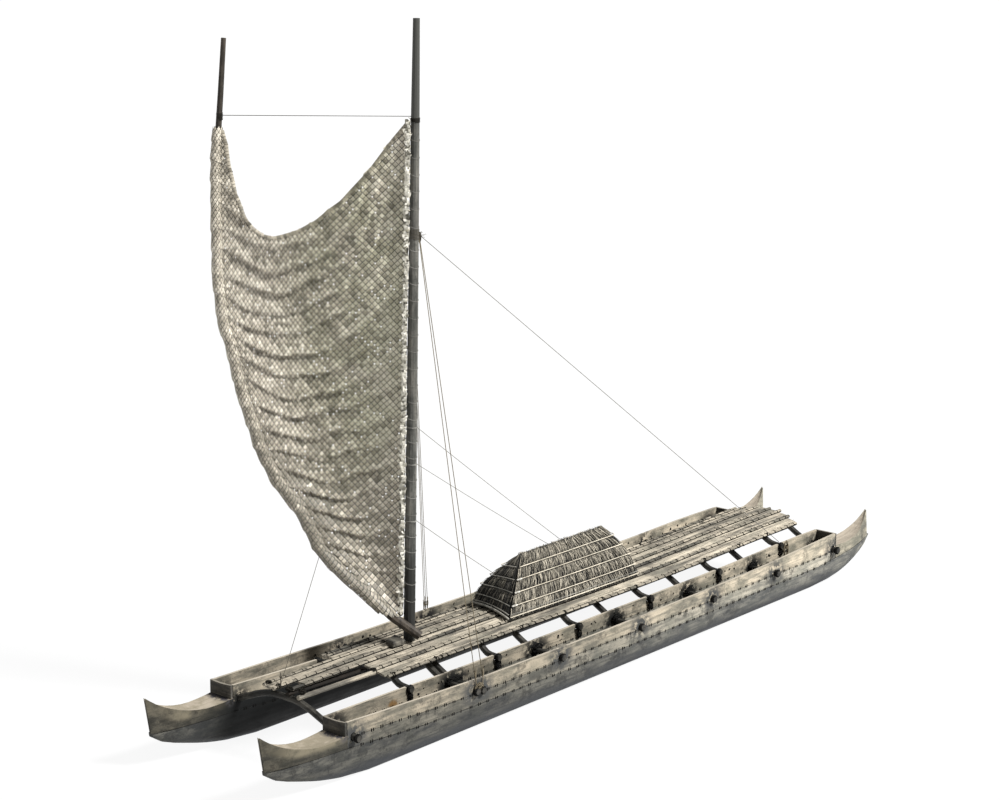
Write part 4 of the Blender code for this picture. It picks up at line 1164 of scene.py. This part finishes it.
def beam_lashings(looks):
    """Black fibre where the beams meet the hulls."""
    pile = Pile(33)
    rnd = pile.random

    def turns(x, y, z, width, count, cord, tone, steps=10, radius=BEAM_RADIUS):
        pile.wraps(at(x, y, z), (0, 1, 0), radius, width, count, cord, rnd.uniform(*tone), steps=steps)

    for x, inboard, outboard in THROUGH_BEAMS:
        for side in (1, -1):
            knob, inner = side * (HULL_OFFSET + 23.6), side * (HULL_OFFSET - 15.5)
            turns(x, knob, outboard, 2.4, 2.5, 0.65, (0.1, 0.5), 12, BEAM_RADIUS - 0.1)
            pile.knot(at(x, knob, outboard) + step(0, side * 1.4, 0), (4.8, 1.3, 4.8), 34, 0.6, (0.0, 0.35))
            turns(x, inner, inboard + 1.5, 5.0, 4.5, 0.7, (0.0, 0.4))
            pile.knot(at(x, inner, inboard + 1.5) + step(0, 0, 1.5), (9.0, 2.6, 6.0), 34, 0.55, (0.0, 0.4))
            turns(x, side * (HULL_OFFSET + 16.5), outboard + 0.5, 3.0, 3.5, 0.7, (0.0, 0.4))
    for x in SHORT_BEAMS:
        for side in (1, -1):
            top = sheer_z(x) - 3.0
            turns(x, side * (SHORT_END - 3.2), top, 3.6, 3.5, 0.65, (0.0, 0.4))
            pile.knot(at(x - 1, side * (HULL_OFFSET - 15.8), top - 9.0), (4.2, 1.8, 6.0), 26, 0.5, (0.0, 0.3))
    pile.make("beam_lashings", looks["black_fibre"])


def deck_lashings(looks):
    """Lashings at the fore ends of the deck poles and under the deck's edges at each beam."""
    pile = Pile(34)
    for x, y, size in ((470, 27, (4, 4, 3.2)), (476, 12, (4, 4, 3)), (478, -3, (3.5, 3.5, 2.6)),
                       (476, -21, (4, 4, 3)), (364, 35, (4, 3, 3))):
        pile.knot(at(x, y, deck_top(x, y) + 0.5), size, 30, 0.45, (0.0, 0.5))
    for y, fore, aft in REEDS:
        for x in SHORT_BEAMS + [b[0] for b in THROUGH_BEAMS]:
            if abs(y) > 50 and aft + 4 < x + 5.2 < fore - 4:
                pile.wraps(at(x + 5.2, y, reed_middle(x, y)), (1, 0, 0), REED, 2.4, 2.5, 0.45,
                           pile.random.uniform(0, 0.4), steps=8)
    pile.make("deck_lashings", looks["dark_fibre"])


# Rigging

def line_between(a, b, sag=0.0, count=14):
    """Points from a to b in metres; sag in millimetres hangs the middle down."""
    return [a.lerp(b, k / count) - Vector((0, 0, 4 * sag * (k / count) * (1 - k / count))) * MM
            for k in range(count + 1)]


def mast_at(up, x=0.0, y=0.0, z=0.0):
    """A point beside the mast's axis, up it and off in the canoe's plan."""
    return at(*(MAST_FOOT + MAST_UP * up + Vector((x, y, z))))


def mast_lacing(looks):
    """Slanting turns of cord that hold the sail's edge to the mast, clear of where lines are made fast."""
    pile = Pile(41)
    rnd = pile.random
    up = SAIL_FOOT + 8
    while up < MAST_LACED_TO:
        radius = float(mast_radius(up)) + 0.35
        if min(abs(up - level) for level in LINE_LEVELS) < 5.5:
            up += 6.5
        line = []
        for k in range(15):
            angle = math.radians(-50 + 360 * k / 14) - 0.6
            around = SAIL_OUT * (radius * math.cos(angle)) + SAIL_SIDE * (radius * math.sin(angle))
            line.append(mast_at(up + 2.6 * math.cos(angle + 0.9), *around))
        pile.tube(line, 0.26, 4, rnd.uniform(0.1, 0.8))
        hem = rig_point(SAIL_LUFF + 1.5, up + rnd.uniform(-3, 3), 1.2)
        pile.tube([line[0], hem], 0.26, 4, rnd.uniform(0.1, 0.8))
        up += LACE_STEP + rnd.uniform(-1.5, 1.5)
    pile.make("mast_lacing", looks["grey_cord"], "sail_rig")


def shroud(pile, hull, hand, x_foot, low, spread, cord, aft):
    """Lines from the mast's head down to a hull's side, each with its lashing; aft is where they start."""
    rnd = pile.random
    radius = float(mast_radius(HOUND_REAL))
    out = hand * (HULL_OFFSET + side_y(x_foot, low) + 1.2)
    top = gunwale_z(x_foot, hull, hand) + 1.0
    start_y = hand * (math.sqrt(radius ** 2 - aft ** 2) + 0.5)
    for dx, foot_dx in spread:
        edge = at(x_foot + foot_dx, out, top)
        start = mast_at(HOUND_REAL, dx * 0.12 - aft, start_y, -2.0 + dx * 0.2)
        pile.tube(line_between(start, edge, 0, 6), cord, 4, rnd.uniform(0.4, 0.9))
        for _ in range(5):
            side = rnd.uniform(-1.6, 1.6)
            over = edge + step(side, hand * 0.5, rnd.uniform(3.0, 16.0))
            pile.tube([over, edge + step(side * 0.4, hand * 0.6, 0.0),
                       at(x_foot + dx * 0.6 + side, out + hand * 0.9, low - rnd.uniform(0, 5))],
                      0.32, 4, rnd.uniform(0.1, 1.0))
        pile.wraps(edge + step(0, 0, 6.0), (0.05, 0, 1), 0.6, 5.0, 5.5, 0.3, rnd.uniform(0.3, 1.0))
    pile.knot(at(x_foot, out + hand * 1.5, low + 4.0), (8.0, 1.6, 6.5), 40, 0.34, (0.0, 1.0))


def hound_lashing(looks):
    """Turns, a knot and loose ends where the shrouds and the backstay leave the mast."""
    pile = Pile(43)
    rnd = pile.random
    pile.wraps(mast_at(HOUND_REAL), MAST_UP, float(mast_radius(HOUND_REAL)), 12.0, 7.5, 0.45, 0.7, steps=14)
    pile.knot(mast_at(HOUND_REAL, -5.6, 3.4, -4.0), (2.4, 2.2, 6.5), 30, 0.36, (0.1, 0.9))
    for _ in range(6):
        tip = mast_at(HOUND_REAL, rnd.uniform(-12, -7), 4.0 + rnd.uniform(0, 5), rnd.uniform(-9, 5))
        pile.tube([mast_at(HOUND_REAL, -5.2, 3.0, -2.0), tip], 0.25, 4, rnd.uniform(0.4, 1.0))
    pile.make("hound_lashing", looks["brown_cord"])


def standing_lines(looks):
    """The backstay, the shrouds with their lashings, and the lines that lead aft from the mast."""
    backstay, port, far = Pile(42), Pile(47), Pile(48)
    radius = float(mast_radius(HOUND_REAL))
    last = SHORT_BEAMS[-1]
    foot = at(last, BACKSTAY_END_Y, sheer_z(last) - 3.0 + BEAM_RADIUS + 1.1)
    backstay.tube(line_between(mast_at(HOUND_REAL, -radius - 0.4), foot, 0, 8), 0.42, 5, 0.2)
    # the port pair starts on the mast's aft side, clear of the sail where it swings to port
    shroud(port, "port", 1, *PORT_SHROUD_FOOT, ((-7.0, -7.0), (6.0, 6.0)), 0.46, PORT_SHROUD_AFT * radius)
    shroud(far, "starboard", -1, *FAR_SHROUD_FOOT, [(dx, dx * 0.45) for dx in (-7.0, 0.5, 7.0)], 0.36, 0.0)
    for up, target in AFT_LINES:
        mast = float(mast_radius(up))
        backstay.tube(line_between(mast_at(up, -mast), at(*target), 1.0, 8), 0.38, 5, 0.4)
        backstay.wraps(mast_at(up), MAST_UP, mast + 0.1, 1.2, 1.5, 0.3, 0.6)
    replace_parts(backstay.make("backstay_cord", looks["grey_cord"]), "backstay")
    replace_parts(port.make("port_shroud_cords", looks["tan_cord"]), "port_shroud")
    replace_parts(far.make("starboard_shroud_cords", looks["tan_cord"]), "starboard_shroud")
    hound_lashing(looks)


def head_line(looks):
    """The line from the boom to the mast above the sail's head."""
    pile = Pile(44)
    up = HEAD_CORD_UP
    pile.tube(line_between(rig_point(221.0, up + 1), rig_point(4.6, up + 4), 0.0, 6), 0.4, 5, 1.0)
    for out, radius, long in ((221.5, 3.4, 8.0), (0.0, 5.0, 5.0)):
        pile.wraps(rig_point(out, up), MAST_UP, radius, long, 5.5, 0.4, 0.5, steps=12)
    pile.make("head_line", looks["dark_fibre"], "sail_rig")


def bow_line(looks):
    """The thin line from the boom down to the bow beam."""
    pile = Pile(45)
    out, up = BOW_LINE_START
    start, end = rig_point(out, up, float(boom_side(out)) - 5.0), at(*BOW_LINE_END)
    pile.tube(line_between(start, end, 0.0, 40), 0.34, 4, 0.7)
    pile.tube(line_between(end + step(0, 0, 14), end + step(0, 0, -3), 0.0, 4), 0.6, 5, 0.6)
    pile.knot(end + step(0, 0, 9), (1.3, 1.3, 1.8), 12, 0.35, (0.3, 1.0))
    made = pile.make("bow_line", looks["brown_cord"], None)
    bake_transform(made)


def backstay_coil(looks):
    """The spare length of the backstay, made up in a small hanging coil at its foot."""
    pile = Pile(46)
    rnd = pile.random
    middle = at(*COIL_AT)
    for _ in range(7):
        wide, tall = rnd.uniform(3.6, 5.6), rnd.uniform(9.0, 12.5)
        dy, lean = rnd.uniform(-1.2, 1.2), rnd.uniform(-0.2, 0.2)
        angles = [2 * math.pi * i / 18 for i in range(18)]
        line = [middle + step(wide * math.cos(angle), dy + lean * math.sin(angle) * 3,
                              tall * math.sin(angle)) for angle in angles]
        pile.tube(line, 0.42, 4, rnd.uniform(0.5, 1.0), closed=True)
    pile.wraps(middle + step(0, 0, 3), (0, 0, 1), 3.2, 4.0, 4.5, 0.45, 0.5)
    pile.make("backstay_coil", looks["tan_cord"])


# Table, light and camera

def white_table():
    mesh = bpy.data.meshes.new("floor")
    corners = [(x * TABLE_HALF, y * TABLE_HALF, 0) for x, y in ((-1, -1), (1, -1), (1, 1), (-1, 1))]
    mesh.from_pydata(corners, [], [(0, 1, 2, 3)])
    g = Graph("floor_white")
    mesh.materials.append(g.finish((TABLE_TONE, TABLE_TONE, TABLE_TONE, 1.0), 0.9, None, 0.0))
    g.shader.inputs["Emission Color"].default_value = (1.0, 1.0, 1.0, 1.0)
    g.shader.inputs["Emission Strength"].default_value = TABLE_GLOW
    floor = placed("floor", mesh)


def light():
    """Even white from all round and a soft sun from the port side, high up."""
    world = bpy.data.worlds.new("soft_white")
    world.use_nodes = True
    background = world.node_tree.nodes["Background"]
    background.inputs["Color"].default_value = (1.0, 1.0, 1.0, 1.0)
    background.inputs["Strength"].default_value = SKY_STRENGTH
    bpy.context.scene.world = world
    sun = bpy.data.lights.new("window_light", "SUN")
    sun.energy = SUN_STRENGTH
    sun.angle = math.radians(SUN_SIZE)
    lamp = placed("window_light", sun)
    lamp.rotation_mode = "QUATERNION"
    lamp.rotation_quaternion = Vector(SUN_FROM).to_track_quat("Z", "Y")


def camera():
    data = bpy.data.cameras.new("camera")
    data.lens = CAMERA_LENS
    data.sensor_width = CAMERA_SENSOR
    data.clip_start, data.clip_end = 0.1, 100.0
    made = placed("camera", data)
    made.location = CAMERA_AT
    made.rotation_euler = (math.radians(90 - CAMERA_DIP), 0.0, math.radians(CAMERA_HEADING - 90))
    bpy.context.scene.camera = made
    bpy.context.scene.view_settings.view_transform = "Standard"


def main():
    white_table()
    light()
    camera()
    looks = {**hull_looks(), **deck_looks(), **spar_looks(), **fibre_looks(), **leaf_looks()}
    dress_cad_nodes(looks)
    sail = plaited_sail(looks)
    edges = [head_border(looks), luff_edge(looks), boom_lacing(looks)]
    thatch(looks)
    hut_battens(looks)
    deck_ties(looks)
    seam_stitches(looks)
    beam_lashings(looks)
    deck_lashings(looks)
    mast_lacing(looks)
    standing_lines(looks)
    head_line(looks)
    bow_line(looks)
    backstay_coil(looks)


main()
